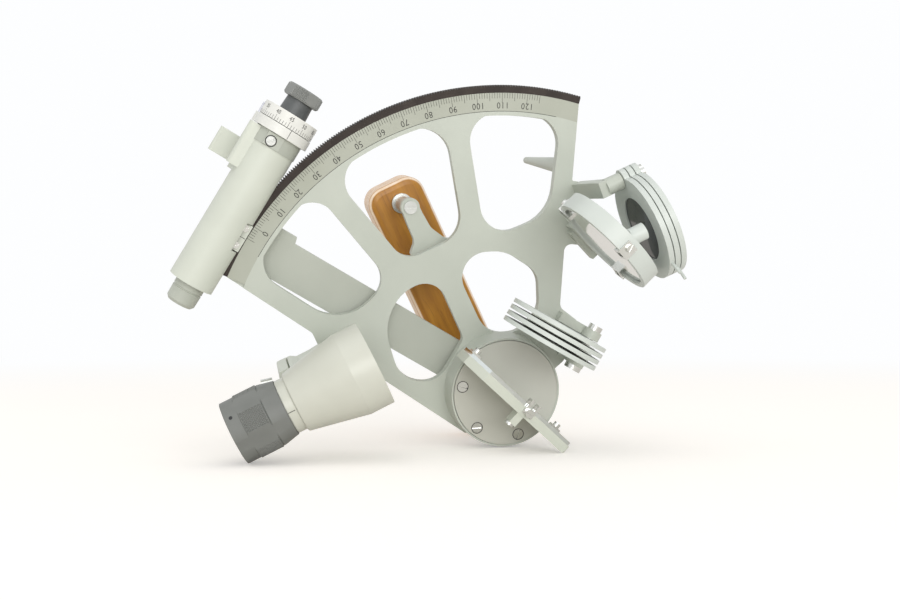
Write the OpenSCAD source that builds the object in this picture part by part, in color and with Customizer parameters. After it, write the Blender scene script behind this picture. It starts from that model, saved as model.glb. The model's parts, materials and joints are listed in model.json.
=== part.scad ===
// Drum sextant lying on its hub, its eyepiece and its handle.
// Drawn with x to the right and z up in the plane of the frame, y away from the front,
// from the axis of the index arm on the front face, then leaned onto the flat.

/* [Frame] */
// Radius of the limb's outer edge from the index axis
scale_r = 162; // [156:0.5:168]
// Width of the limb band
limb_w = 12; // [9:0.5:14]
// Thickness of the limb band
limb_t = 8; // [6.5:0.5:9]
// Thickness of the frame plate
plate_t = 5; // [3.5:0.5:6]
// Thickness of the inlaid scale strip
strip_t = 1.2; // [0.8:0.1:2]
// Width of the inlaid scale strip
strip_w = 9.7; // [8:0.1:10.5]
// Width of the toothed rack's solid part
rack_w = 3.3; // [2.5:0.1:4]
// Height of the rack's teeth
tooth_h = 0.9; // [0.6:0.1:1.1]
// Length of the feet behind the frame plate
foot_len = 67; // [60:1:74]
// Radius of the feet at their tips
foot_tip_r = 2; // [1.5:0.5:3]

/* [Hub and index arm] */
// Radius of the hub at its front
hub_r = 30.5; // [30:0.1:33]
// How far the hub stands in front of the plate
hub_depth = 13; // [12:0.5:14]
// How much wider the hub is at the plate
hub_flare = 1.2; // [0.4:0.2:4]
// Radius of the index disc
disc_r = 29.2; // [27:0.1:29.5]
// Thickness of the index disc
disc_t = 5.4; // [4:0.2:6]
// Radius of the index axle
axle_r = 8; // [6:0.5:9]
// Wall of the pivot bush
bush_wall = 3; // [2:0.5:4]
// Thickness of the index arm
arm_t = 3.6; // [3:0.2:4.4]
// Width of the index arm
arm_w = 22.8; // [20:0.2:24]
// Radius of the index arm's round end on the axle
arm_hub_r = 20.5; // [18:0.5:21]

/* [Micrometer] */
// Radius of the worm barrel
barrel_r = 12.4; // [11.6:0.1:13]
// Length of the worm barrel
barrel_len = 81; // [76:1:86]
// Radius of the worm
worm_r = 8.1; // [7.5:0.1:8.2]
// Radius of the worm's journals
journal_r = 4; // [3:0.5:5]
// Radius of the micrometer drum
drum_r = 15; // [13.5:0.5:16]
// Width of the micrometer drum
drum_w = 7.2; // [6:0.2:9]
// Radius of the knurled drum knob
knob_r = 10; // [8:0.5:12]
// Width of the knurled drum knob
knob_w = 6.6; // [5:0.2:9]
// Thickness of the clear index ring
index_ring_t = 5.2; // [4:0.2:6]

/* [Mirrors] */
// Distance of the optical axis in front of the frame plate
optic_y = 42; // [41:0.5:44]
// Length of the index mirror frame along the mirror
index_len = 71.8; // [64:0.2:72]
// Height of the index mirror frame above the disc
index_h = 28.9; // [26:0.1:29.5]
// Thickness of the index mirror frame behind its glass
index_back_t = 5; // [3:0.1:5.2]
// Thickness of the index mirror's glass
index_glass_t = 2; // [1.6:0.1:2.2]
// Radius of the horizon mirror housing
horizon_r = 29.8; // [28:0.2:31]
// Depth of the horizon mirror housing
horizon_depth = 9.5; // [8:0.5:11]
// Radius of the horizon mirror's glass
horizon_glass_r = 26; // [23:0.5:27]

/* [Shades] */
// Radius of the horizon shades
horizon_shade_r = 28.2; // [25:0.1:28.6]
// Radius of the horizon shades' glasses
horizon_pane_r = 18.9; // [14:0.1:20]
// Radius of the index shades
index_shade_r = 27.1; // [24:0.1:27.5]
// Radius of the index shades' glasses
index_pane_r = 17.5; // [14:0.5:19]
// Thickness of each horizon shade
horizon_shade_t = 2.9; // [2.4:0.1:3.1]
// Thickness of each index shade
index_shade_t = 2.2; // [1.8:0.1:3]
// Thickness of each shade glass
pane_t = 1.4; // [1:0.1:1.6]
// Distance from one shade to the next
shade_step = 3.5; // [3.4:0.1:3.8]
// Radius of the shade pins
shade_pin_r = 2; // [1.5:0.1:2.5]

/* [Telescope] */
// Radius of the telescope's front rim
hood_r = 22.3; // [21:0.1:24]
// Length of the telescope's front rim
hood_len = 13; // [10:0.5:16]
// Radius of the telescope at the narrow end of its taper
tube_r = 15.8; // [14.8:0.1:17]
// Length of the telescope's taper
taper_len = 30.9; // [28:0.1:34]
// Radius of the telescope's neck
neck_r = 14.3; // [13.8:0.1:14.6]
// Wall of the telescope
scope_wall = 1.4; // [1:0.1:2]
// Radius of the knurled focusing grip
focus_r = 17.2; // [16.6:0.1:18]
// Radius of the rear rim of the focusing sleeve
rear_r = 16.5; // [16:0.1:17]
// Length of the focusing sleeve
focus_len = 28.7; // [26:0.1:31]
// Radius of the eyepiece cell
cell_r = 11.4; // [9:0.1:12]
// How far the eyepiece cell moves each way in focusing
focus_travel = 3; // [1:0.5:4]

/* [Handle] */
// Length of the wooden grip
grip_len = 164.2; // [158:0.2:168]
// Width of the wooden grip
grip_w = 34; // [30:0.5:38]
// Thickness of the wooden grip
grip_t = 26; // [22:0.5:28]
// Gap for the fingers between the frame plate's back and the grip
finger_gap = 37; // [32:0.5:42]
// Rounding of the grip's corners seen from the side
grip_corner = 10; // [7:0.5:14]
// Rounding of the grip's edges
grip_edge = 4; // [2:0.5:6]
// Thickness of the handle bridge
bridge_t = 5; // [4:0.5:6]
// Radius of the upper handle post
upper_post_r = 4.5; // [3.5:0.1:5]
// Radius of the lower handle post
lower_post_r = 5; // [4:0.1:5.5]

/* [Clearances] */
// Radial gap of a turning fit
run_gap = 0.05; // [0.03:0.01:0.08]
// Gap between faces that pass each other
face_gap = 0.3; // [0.25:0.01:0.4]

/* [Hidden] */
$fn = 96;

// Directions in the plane of the frame, in degrees from x towards z.
arm_dir = 147.76;
sight_dir = 24.73;
path_dir = 59.5;
horizon_shade_dir = 22.5;
index_normal_dir = 46;
horizon_normal_dir = 223.8;
limb_start = 73.5;
rack_start = 74.5;
limb_end = 155.6;

// Radii and depths that follow from the sizes above.
win_r = scale_r - limb_w;
groove_r = scale_r - strip_w;
rack_r = scale_r + rack_w;
rack_tip_r = rack_r + tooth_h;
rack_teeth = 720;
worm_axis_r = rack_tip_r + 0.2 + worm_r;
worm_y = limb_t / 2;
arm_y0 = limb_t + 0.4;
arm_y1 = arm_y0 + arm_t;
disc_front = hub_depth + 0.5;
disc_back = disc_front - disc_t;
flange_t = 3;
recess_y = disc_back - flange_t - face_gap;
flange_r = disc_r - 2;
bush_r = axle_r + bush_wall;
mirror_chamfer = 1;
rest_flat = 0.6;
bridge_y0 = arm_y1 + 1;
bridge_y1 = bridge_y0 + bridge_t;
grip_y0 = plate_t + finger_gap;
grip_y1 = grip_y0 + grip_t;

// The barrel and what turns in it, as distances along the worm's axis.
barrel_s0 = -34;
barrel_s1 = barrel_s0 + barrel_len;
collar_s1 = barrel_s1 + 8;
ring_s1 = collar_s1 + index_ring_t;
drum_s0 = ring_s1 + face_gap;
drum_s1 = drum_s0 + drum_w;
neck_s1 = drum_s1 + 8;
knob_s1 = neck_s1 + knob_w;

// Optical layout.
sight = [cos(sight_dir), 0, sin(sight_dir)];
horizon_centre = [43.1, -optic_y, 83];
scope_front = [-76.8, -optic_y, 27.5];
taper_end = hood_len + taper_len;
sleeve_t0 = taper_end + 5.1;
sleeve_t1 = sleeve_t0 + focus_len;
neck_t1 = sleeve_t1 - 8;
scope_rear = scope_front - sleeve_t1 * sight;
seat_t0 = 6;
lens_t = 3;
cell_t0 = taper_end + 5 + focus_travel;
cell_t1 = neck_t1 + 2;
horizon_shade_centre = [65.8, -optic_y, 92.4];
index_shade_centre = [15.3, -optic_y, 33.5];
index_pivot = [32.5, optic_y - 8];
horizon_pivot = [-27, 4];
shade_ear_r = 5.8;

// The grip's lower corner and its axis.
grip_dir = sight_dir - 90;
grip_axis = [cos(grip_dir), 0, sin(grip_dir)];
grip_across = [-sin(grip_dir), 0, cos(grip_dir)];
grip_low_s = 40.6;
grip_mid = -2.4;
upper_post = [-47.8, 100.4];
lower_post = [9, -25.5];
standoff = [31, 81];

function unit(v) = v / norm(v);
function turned(v, a) = [v[0] * cos(a) - v[1] * sin(a), v[0] * sin(a) + v[1] * cos(a)];
function flat(p) = [p[0], p[1]];
function rim_vertex(a, r) = [win_r * cos(a), win_r * sin(a), r];
function rim_middle(a0, a1) = let (a = (a0 + a1) / 2) [1.02 * win_r * cos(a), 1.02 * win_r * sin(a), 0];

// The arc that rounds corner p between its neighbours a and b.
function corner_arc(a, p, b) =
    p[2] == 0 ? [flat(p)] :
    let (
        u = unit(flat(a) - flat(p)),
        w = unit(flat(b) - flat(p)),
        half = acos(u * w) / 2,
        reach = p[2] / tan(half),
        c = flat(p) + unit(u + w) * p[2] / sin(half),
        first = flat(p) + u * reach - c,
        last = flat(p) + w * reach - c,
        way = sign(first[0] * last[1] - first[1] * last[0]),
        turn = 180 - 2 * half,
        n = max(2, ceil(turn / 9))
    )
    [for (i = [0:n]) c + turned(first, way * turn * i / n)];
function rounded(p) = [for (i = [0:len(p) - 1])
    each corner_arc(p[(i + len(p) - 1) % len(p)], p[i], p[(i + 1) % len(p)])];

// The floor passes under the eyepiece's rear rim, the small flat filed on the index mirror's corner
// and the grip's lower corner. The part's origin is the middle of that flat.
function rim_low(c, axis, r, n) = let (g = n - (n * axis) * axis) c - r * unit(g);
grip_low = (grip_low_s - grip_corner) * grip_axis
    + (grip_mid - grip_w / 2 + grip_corner) * grip_across + [0, grip_y0 + grip_edge, 0];
function low_scope(n) = rim_low(scope_rear, sight, rear_r, n);
mirror_corner = [index_len / 2 + 0.3, index_h - mirror_chamfer, -3.3];
mirror_along = [cos(index_normal_dir - 90), 0, sin(index_normal_dir - 90)];
mirror_out = [cos(index_normal_dir), 0, sin(index_normal_dir)];
mirror_low = mirror_corner[0] * mirror_along + mirror_corner[2] * mirror_out
    - [0, disc_front + mirror_corner[1], 0];
function low_grip(n) = rim_low(grip_low, [0, 1, 0], grip_corner - grip_edge, n) - grip_edge * unit(n);
function upward(n) = n[2] < 0 ? -n : n;
function low_mirror(n) = mirror_low + rest_flat * unit(n);
function floor_through(n) = upward(unit(cross(low_mirror(n) - low_scope(n), low_grip(n) - low_scope(n))));
floor_n = floor_through(floor_through(floor_through([0, 0, 1])));
floor_h = floor_n * low_scope(floor_n);
lean_x = atan2(floor_n[1], floor_n[2]);
lean_y = -atan2(floor_n[0], norm([floor_n[1], floor_n[2]]));
function tip_x(v) = [v[0], v[1] * cos(lean_x) - v[2] * sin(lean_x), v[1] * sin(lean_x) + v[2] * cos(lean_x)];
function tip_y(v) = [v[0] * cos(lean_y) + v[2] * sin(lean_y), v[1], -v[0] * sin(lean_y) + v[2] * cos(lean_y)];
function leaned(v) = tip_y(tip_x(v));
function risen(e) = rest_flat * e / (e * unit(floor_n));
stand_point = mirror_low + (risen([0, 1, 0]) + risen(mirror_out) + risen(-mirror_along - [0, 1, 0])) / 3;

module stand() {
    translate(-leaned(stand_point))
        rotate([lean_x, lean_y, 0])
            children();
}

// A plate between two depths, drawn in x and z.
module slab(y0, y1) {
    translate([0, y1, 0])
        rotate([90, 0, 0])
            linear_extrude(y1 - y0)
                children();
}

module rod(p, y0, y1, r) {
    translate([p[0], y0, p[1]])
        rotate([-90, 0, 0])
            cylinder(h = y1 - y0, r = r);
}

module cone(p, y0, y1, r0, r1) {
    translate([p[0], y0, p[1]])
        rotate([-90, 0, 0])
            cylinder(h = y1 - y0, r1 = r0, r2 = r1);
}

// Puts local z along a direction in the plane of the frame, with y kept.
module facing(p, dir) {
    translate(p)
        rotate([0, -dir, 0])
            rotate([0, 90, 0])
                children();
}

module on_arm() {
    rotate([0, -arm_dir, 0])
        children();
}

// Local z runs along the worm, x towards the index axis.
module on_worm() {
    facing([worm_axis_r * cos(arm_dir), worm_y, worm_axis_r * sin(arm_dir)], arm_dir - 90)
        children();
}

module on_scope() {
    facing(scope_front, sight_dir + 180)
        children();
}

module on_horizon() {
    facing(horizon_centre, horizon_normal_dir)
        children();
}

module on_horizon_shade(i) {
    way = [cos(horizon_shade_dir), 0, sin(horizon_shade_dir)];
    facing(horizon_shade_centre + i * shade_step * way, horizon_shade_dir)
        children();
}

module on_index_shade(i) {
    way = [cos(path_dir), 0, sin(path_dir)];
    facing(index_shade_centre + i * shade_step * way, path_dir)
        children();
}

module on_index_mirror() {
    facing([0, -disc_front, 0], index_normal_dir)
        children();
}

module tube(z0, z1, r) {
    translate([0, 0, z0])
        cylinder(h = z1 - z0, r = r);
}

module block(lo, hi) {
    translate(lo)
        cube(hi - lo);
}

module band(y0, y1, r0, r1, a0, a1) {
    reach = 1.3 * r1;
    intersection() {
        difference() {
            rod([0, 0], y0, y1, r1);
            rod([0, 0], y0 - 1, y1 + 1, r0);
        }
        slab(y0 - 1, y1 + 1)
            polygon([
                [0, 0],
                [reach * cos(a0), reach * sin(a0)],
                [reach * cos((a0 + a1) / 2), reach * sin((a0 + a1) / 2)],
                [reach * cos(a1), reach * sin(a1)]
            ]);
    }
}

// A cheese head with a screwdriver slot, its top at z = h.
module slotted_head(r, h, angle = 20) {
    difference() {
        cylinder(h = h, r = r);
        rotate([0, 0, angle])
            block([-r - 1, -r * 0.13, h * 0.55], [r + 1, r * 0.13, h + 1]);
    }
}

module windows() {
    window_depth = limb_t + 2;
    intersection() {
        rod([0, 0], -1, window_depth, win_r);
        slab(-1, window_depth) {
            polygon(rounded([rim_vertex(132.3, 13.4), [-61.7, 62.4, 12.9], [-87.4, 37.7, 24],
                rim_vertex(152.4, 15.4), rim_middle(152.4, 132.3)]));
            polygon(rounded([rim_vertex(102, 16.1), [-20.9, 86.7, 15.9], [-53.3, 72.5, 12.4],
                rim_vertex(127.6, 14.4), rim_middle(127.6, 102)]));
            polygon(rounded([rim_vertex(77.2, 15.5), [27.9, 96.4, 23.3], [-8.6, 82.4, 14.6],
                rim_vertex(97.6, 14.7), rim_middle(97.6, 77.2)]));
            polygon(rounded([[-29.2, 75.7, 13.8], [2.1, 76.9, 22.4], [21.3, 64.3, 13.1], [22.4, 43.1, 11.9],
                [10.1, 31.2, 12], [-7.8, 29.8, 16.6]]));
            polygon(rounded([[-36.2, 63.7, 12.5], [-20.7, 28.7, 6.1], [-35.2, 4.9, 14], [-56.1, 6.4, 17],
                [-65.2, 37, 25.9], [-56, 55.7, 23]]));
        }
    }
}

// The limb's straight right end.
limb_edge = scale_r / 162 * [[40.1, 113], [43.6, 161]];
module limb_cut() {
    slab(-2, limb_t + 1)
        polygon([
            limb_edge[0],
            1.1 * limb_edge[1] - 0.1 * limb_edge[0],
            [80, 1.1 * limb_edge[1][1]],
            [80, limb_edge[0][1]]
        ]);
}

module frame_outline() {
    far = 1.15 * scale_r;
    polygon(rounded([
        [scale_r * cos(limb_end), scale_r * sin(limb_end), 0],
        [-104, 35.5, 3],
        [-99.8, 26, 3],
        [-97, 12, 3],
        [-86, 8, 3],
        [-78, 16.6, 3],
        [-20, -25.4, 0],
        [20, -20, 0],
        [31, 8, 3],
        [37, 13, 3],
        [44.5, 27, 4],
        [45.5, 35.5, 4],
        [34.5, 44, 5],
        [36.6, 79.8, 4],
        [49, 78.5, 6],
        [58, 80, 6],
        [58, 92, 8],
        [50, 104, 4],
        [50, 113, 2],
        [40.3, 114.5, 1],
        concat(limb_edge[1], 0),
        [far * cos(limb_start + 6), far * sin(limb_start + 6), 0],
        [far * cos(115), far * sin(115), 0],
        [far * cos(limb_end - 6), far * sin(limb_end - 6), 0]
    ]));
}

module casting() {
    difference() {
        union() {
            intersection() {
                slab(0, plate_t)
                    frame_outline();
                rod([0, 0], -1, plate_t + 1, scale_r);
            }
            difference() {
                band(0, limb_t, win_r, scale_r, limb_start, limb_end);
                limb_cut();
            }
            cone([0, 0], -hub_depth, 0, hub_r, hub_r + hub_flare);
            rod([0, 0], 0, plate_t, hub_r + 0.4);
            rod([0, 0], plate_t, limb_t, 20);
        }
        windows();
        band(-1, strip_t, groove_r, scale_r + 1, limb_start - 1, limb_end + 1);
        rod([0, 0], -hub_depth - 1, -recess_y, disc_r + face_gap);
        rod([0, 0], -hub_depth - 1, limb_t + 1, bush_r);
    }
}

module frame_plate() {
    color("#b9c2b4")
        stand()
            casting();
}

module scale_strip() {
    color("#c9d0c2")
        stand()
            difference() {
                band(0, strip_t, groove_r, scale_r, limb_start, limb_end);
                limb_cut();
            }
}

// One tooth for every half degree of arc, along the limb's edge.
function tooth_point(k, r) = let (a = k * 360 / rack_teeth) [r * cos(a), r * sin(a)];
module toothed_rack() {
    k0 = ceil(rack_start * rack_teeth / 360);
    k1 = floor(limb_end * rack_teeth / 360);
    seat_r = scale_r / cos(180 / rack_teeth);
    color("#3a2c26")
        stand()
            slab(0, limb_t)
                polygon(concat(
                    [for (k = [k0:k1 - 1]) each [
                        tooth_point(k, rack_r),
                        tooth_point(k + 0.3, rack_tip_r),
                        tooth_point(k + 0.5, rack_tip_r),
                        tooth_point(k + 0.8, rack_r)
                    ]],
                    [tooth_point(k1, rack_r)],
                    [for (k = [k1:-1:k0]) tooth_point(k, seat_r)]
                ));
}

module pivot_bush() {
    color("#b99a55")
        stand()
            difference() {
                union() {
                    rod([0, 0], -recess_y, limb_t, bush_r);
                    rod([0, 0], limb_t, arm_y0, bush_r - 0.5);
                }
                rod([0, 0], -hub_depth, limb_t + 2, axle_r + run_gap);
            }
}

module foot(p, base_r) {
    color("#c3cabd")
        stand()
            cone(p, plate_t, plate_t + foot_len, base_r, foot_tip_r);
}

module feet() {
    foot([35.2, 122.6], 4.6);
    foot([-132, 60.6], 4);
    foot([25, -6], 3.8);
}

module grip_corners() {
    half_w = grip_w / 2 - grip_corner;
    s0 = grip_low_s - grip_len + grip_corner;
    s1 = grip_low_s - grip_corner;
    for (s = [s0, s1])
        for (side = [-1, 1])
            translate(s * grip_axis + (grip_mid + side * half_w) * grip_across)
                for (k = [0, 1])
                    translate([0, k == 0 ? grip_y0 : grip_y1, 0])
                        rotate([k == 0 ? -90 : 90, 0, 0])
                            rotate_extrude($fn = 32)
                                polygon([
                                    [0, 0],
                                    [grip_corner - grip_edge, 0],
                                    [grip_corner - grip_edge * (1 - sin(30)), grip_edge * (1 - cos(30))],
                                    [grip_corner - grip_edge * (1 - sin(60)), grip_edge * (1 - cos(60))],
                                    [grip_corner, grip_edge],
                                    [0, grip_edge]
                                ]);
}

screw_shank_r = 2.5;
screw_head_r = 5;
module grip_screw(p) {
    rod(p, grip_y0 - 12, grip_y1 - 2.5, screw_shank_r);
    rod(p, grip_y1 - 2.5, grip_y1 - 0.5, screw_head_r);
}

module handle_grip() {
    color("#b5772f")
        stand()
            difference() {
                hull()
                    grip_corners();
                for (p = [upper_post, lower_post]) {
                    rod(p, grip_y0 - 1, grip_y1 + 1, screw_shank_r);
                    rod(p, grip_y1 - 2.5, grip_y1 + 1, screw_head_r);
                }
            }
}

module handle_bridge() {
    end_r = upper_post_r + 0.7;
    color("#aeb7aa")
        stand()
            difference() {
                union() {
                    slab(bridge_y0, bridge_y1)
                        polygon(rounded([
                            [upper_post[0] - end_r, upper_post[1], 0],
                            [upper_post[0] + end_r, upper_post[1], 0],
                            [-41.2, 97.4, 3],
                            [-36.4, 89, 8],
                            [-28, 82.8, 6],
                            [standoff[0] + 5, standoff[1] + 4, 4],
                            [standoff[0] + 5, standoff[1] - 4.2, 4],
                            [-30, 76.8, 8],
                            [-42, 71, 3],
                            [-48.4, 73.5, 3],
                            [-45.4, 81.5, 6],
                            [-49.6, 91.4, 0]
                        ]));
                    rod(upper_post, bridge_y0, bridge_y1, end_r);
                    rod(standoff, plate_t, bridge_y0, 5);
                }
                rod(standoff, plate_t - 1, bridge_y1 + 1, 2);
                rod(upper_post, bridge_y0 - 1, bridge_y1 + 1, 2);
            }
}

module handle_post(p, y0, r, hole_y) {
    difference() {
        union() {
            rod(p, y0, grip_y0, r);
            rod(p, grip_y0 - 2.5, grip_y0, r + 1.2);
        }
        rod(p, grip_y0 - 12, grip_y0 + 1, screw_shank_r);
        rod(p, y0 - 1, hole_y, 2);
    }
}

module handle_upper_post() {
    color("#c9cdca")
        stand()
            handle_post(upper_post, bridge_y1, upper_post_r, bridge_y1 + 6);
}

module handle_lower_post() {
    color("#c9cdca")
        stand()
            handle_post(lower_post, plate_t, lower_post_r, plate_t - 0.5);
}

module handle_screws() {
    color("#d9dbd8")
        stand() {
            for (p = [upper_post, lower_post])
                difference() {
                    grip_screw(p);
                    translate([p[0] - 6, grip_y1 - 1.3, p[1] - 0.6])
                        cube([12, 2, 1.2]);
                }
            rod(standoff, plate_t, bridge_y1, 2);
            rod(standoff, bridge_y1, bridge_y1 + 2, 4);
            difference() {
                union() {
                    rod(upper_post, bridge_y0, bridge_y1 + 6, 2);
                    rod(upper_post, bridge_y0 - 0.8, bridge_y0, 3.6);
                }
                translate([upper_post[0] - 5, bridge_y0 - 1, upper_post[1] - 0.4])
                    cube([10, 0.6, 0.8]);
            }
        }
}

// Outer shape of the tapered tube, as distance from the front rim and radius.
module scope_skin() {
    rotate_extrude()
        polygon([
            [0, 0],
            [hood_r, 0],
            [hood_r, hood_len],
            [tube_r, taper_end],
            [neck_r, taper_end + 0.8],
            [neck_r, sleeve_t0],
            [0, sleeve_t0]
        ]);
}

sleeve_bore_r = neck_r - scope_wall + 0.5;
module telescope_body() {
    lens_r = hood_r - 2.2;
    color("#bcc5b7")
        stand()
            on_scope()
                difference() {
                    union() {
                        scope_skin();
                        tube(sleeve_t0 - 1, neck_t1, sleeve_bore_r - run_gap);
                    }
                    rotate_extrude()
                        polygon([
                            [0, -1],
                            [lens_r, -1],
                            [lens_r, seat_t0 + lens_t],
                            [lens_r - 1.4, seat_t0 + lens_t],
                            [lens_r - 1.4, hood_len],
                            [tube_r - scope_wall - 1, taper_end],
                            [cell_r + run_gap, cell_t0 - focus_travel - 2],
                            [cell_r + run_gap, neck_t1 + 1],
                            [0, neck_t1 + 1]
                        ]);
                }
}

module objective_ring() {
    lens_r = hood_r - 2.2;
    color("#2b2d2d")
        stand()
            on_scope()
                difference() {
                    tube(seat_t0 - 2, seat_t0, lens_r);
                    tube(seat_t0 - 3, seat_t0 + 1, lens_r - 1.6);
                }
}

module objective_lens() {
    color("#9fb6c2")
        stand()
            on_scope()
                tube(seat_t0, seat_t0 + lens_t, hood_r - 2.2);
}

module focus_sleeve() {
    front = sleeve_t0 + 0.3;
    ring_t1 = sleeve_t0 + 9.1;
    cap_t0 = sleeve_t1 - 7;
    color("#555857")
        stand()
            on_scope()
                difference() {
                    rotate_extrude()
                        polygon([
                            [0, front],
                            [neck_r + 0.5, front],
                            [rear_r + 0.2, ring_t1 - 0.4],
                            [rear_r - 0.2, ring_t1],
                            [focus_r, ring_t1 + 0.4],
                            [focus_r, cap_t0 - 0.4],
                            [rear_r, cap_t0],
                            [rear_r, sleeve_t1],
                            [0, sleeve_t1]
                        ]);
                    tube(sleeve_t0 - 1, neck_t1 + face_gap, sleeve_bore_r);
                    tube(sleeve_t0, sleeve_t1 + 1, cell_r + 0.4);
                }
}

module eyepiece_cell() {
    color("#2b2d2d")
        stand()
            on_scope()
                difference() {
                    tube(cell_t0, cell_t1, cell_r);
                    tube(cell_t0 - 1, cell_t1 + 1, cell_r - 2.4);
                    tube(cell_t1 - 5, cell_t1 + 1, cell_r - 1.2);
                }
}

module eye_lens() {
    color("#9fb6c2")
        stand()
            on_scope()
                tube(cell_t1 - 5, cell_t1 - 2, cell_r - 1.2);
}

// The rising piece: a foot on the front of the frame and a saddle for the tube.
bracket_depth = optic_y - 12;
saddle_y = -6;
module telescope_bracket() {
    color("#c3cabd")
        stand()
            difference() {
                union() {
                    slab(-bracket_depth, saddle_y)
                        polygon(rounded([[-95.5, 31, 3], [-101, 31, 2], [-106.5, 27.8, 3], [-113.3, 24.6, 1],
                            [-116.5, 25, 1], [-119.2, 24, 1], [-123.8, 22, 1.5], [-121.93, 11, 2],
                            [-118, 3, 3], [-104, 1, 4], [-90, 8, 3], [-90, 20, 3]]));
                    slab(saddle_y, 0)
                        polygon([[-98, 25], [-96, 13], [-86.5, 9.5], [-86.5, 21]]);
                }
                on_scope()
                    scope_skin();
                slab(-bracket_depth - 1, -8)
                    polygon([[-119.5, 26.3], [-120.3, 25.8], [-117.8, 22], [-117, 22.5]]);
            }
}

module clamp_knob() {
    color("#cfd4cc")
        stand()
            facing([-122.355, -20, 13.5], 189.65) {
                tube(0, 4, 2);
                tube(4, 10, 4.4);
            }
}

module horizon_skin() {
    tube(-horizon_depth, 0, horizon_r);
}

module horizon_base() {
    color("#b9c2b4")
        stand()
            on_horizon()
                difference() {
                    union() {
                        block([-9, 20, -horizon_depth + 0.3], [9, optic_y, -0.3]);
                        block([-14, optic_y - 6, -horizon_depth + 0.3], [6, optic_y, 2]);
                    }
                    horizon_skin();
                    block([-20, optic_y - 9, -3.2], [20, optic_y - 4.5, -2.4]);
                    block([-20, optic_y - 9, -5.2], [20, optic_y - 4.5, -4.4]);
                }
}

glass_floor = 4.6;
glass_thick = 3;
seal_w = 0.9;
module horizon_housing() {
    boss = [2, -24.5];
    color("#bcc5b7")
        stand()
            on_horizon()
                difference() {
                    union() {
                        horizon_skin();
                        translate([0, boss[1], -horizon_depth + 2])
                            rotate([0, 19, 0])
                                translate([boss[0], 0, -9])
                                    cylinder(h = 8, r = 4.4);
                    }
                    tube(-glass_floor, 1, horizon_glass_r + seal_w);
                }
}

module horizon_glass() {
    color("#dfe6e6")
        stand()
            on_horizon()
                tube(-glass_floor, -glass_floor + glass_thick, horizon_glass_r);
}

module horizon_seal() {
    color("#1d1f1f")
        stand()
            on_horizon()
                difference() {
                    tube(-glass_floor, -glass_floor + glass_thick - 0.6, horizon_glass_r + seal_w);
                    tube(-glass_floor - 1, 1, horizon_glass_r);
                }
}

clip_turns = [90, 215, 325];
module horizon_clips() {
    lip = glass_floor - glass_thick;
    color("#d9dbd8")
        stand()
            on_horizon()
                for (a = clip_turns)
                    rotate([0, 0, a + 180]) {
                        difference() {
                            block([horizon_r - 0.2, -3.2, -6.5], [horizon_r + 0.9, 3.2, 1]);
                            tube(-7, 0.02, horizon_r + 0.02);
                        }
                        for (side = [-1, 1])
                            block([horizon_glass_r - 3, side * 2.2 - 0.8, 0.02],
                                [horizon_r + 0.9, side * 2.2 + 0.8, 0.9]);
                        block([horizon_glass_r - 3, -3, -lip], [horizon_glass_r - 1.6, 3, 0.9]);
                    }
}

module horizon_screws() {
    color("#d9dbd8")
        stand()
            on_horizon()
                for (a = clip_turns)
                    rotate([0, 0, a + 180])
                        translate([horizon_r + 0.9, 0, -4])
                            rotate([0, 90, 0])
                                slotted_head(2, 1.6);
}

module horizon_shade_arm() {
    boss_r = 4.6;
    color("#bcc5b7")
        stand()
            on_horizon_shade(0)
                difference() {
                    union() {
                        translate([horizon_pivot[0], horizon_pivot[1], -10.5])
                            cylinder(h = 10.5 - horizon_shade_t / 2 - face_gap, r = boss_r);
                        hull() {
                            block([horizon_pivot[0] - 4.2, horizon_pivot[1] - 3, -14.5],
                                [horizon_pivot[0] + 4.2, horizon_pivot[1] + 3, -9.8]);
                            block([horizon_pivot[0] - 1.2, optic_y - 2, -16],
                                [horizon_pivot[0] + 7.2, optic_y, -11]);
                        }
                    }
                    translate([horizon_pivot[0], horizon_pivot[1], -12])
                        cylinder(h = 14, r = shade_pin_r);
                }
}

module horizon_shade_pin() {
    last = 2 * shade_step + horizon_shade_t / 2 + face_gap;
    color("#d9dbd8")
        stand()
            on_horizon_shade(0)
                translate([horizon_pivot[0], horizon_pivot[1], 0]) {
                    translate([0, 0, -10.5])
                        cylinder(h = 10.5 + last, r = shade_pin_r);
                    translate([0, 0, last])
                        slotted_head(4, 2.4);
                }
}

module pane_seat(r, ring_t) {
    cylinder(h = ring_t + 2, r = r - 1.4, center = true);
    translate([0, 0, -pane_t / 2])
        cylinder(h = ring_t, r = r);
}

module horizon_shade(i) {
    finger_turn = 53;
    color("#b9c2b4")
        stand()
            on_horizon_shade(i) {
                difference() {
                    union() {
                        cylinder(h = horizon_shade_t, r = horizon_shade_r, center = true);
                        translate([horizon_pivot[0], horizon_pivot[1], -horizon_shade_t / 2])
                            cylinder(h = horizon_shade_t, r = shade_ear_r);
                        if (i < 2)
                            rotate([0, 0, -finger_turn + 13 * i])
                                translate([horizon_shade_r - 1, 0, 0])
                                    rotate([0, 90, 0])
                                        cylinder(h = 8.5, r = 0.8);
                    }
                    pane_seat(horizon_pane_r, horizon_shade_t);
                    translate([horizon_pivot[0], horizon_pivot[1], -horizon_shade_t])
                        cylinder(h = 2 * horizon_shade_t, r = shade_pin_r + run_gap);
                }
            }
}

module horizon_shade_1() {
    horizon_shade(0);
}

module horizon_shade_2() {
    horizon_shade(1);
}

module horizon_shade_3() {
    horizon_shade(2);
}

module horizon_pane(i) {
    color("#20242a")
        stand()
            on_horizon_shade(i)
                translate([0, 0, -pane_t / 2])
                    cylinder(h = pane_t, r = horizon_pane_r);
}

module horizon_pane_1() {
    horizon_pane(0);
}

module horizon_pane_2() {
    horizon_pane(1);
}

module horizon_pane_3() {
    horizon_pane(2);
}

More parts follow.
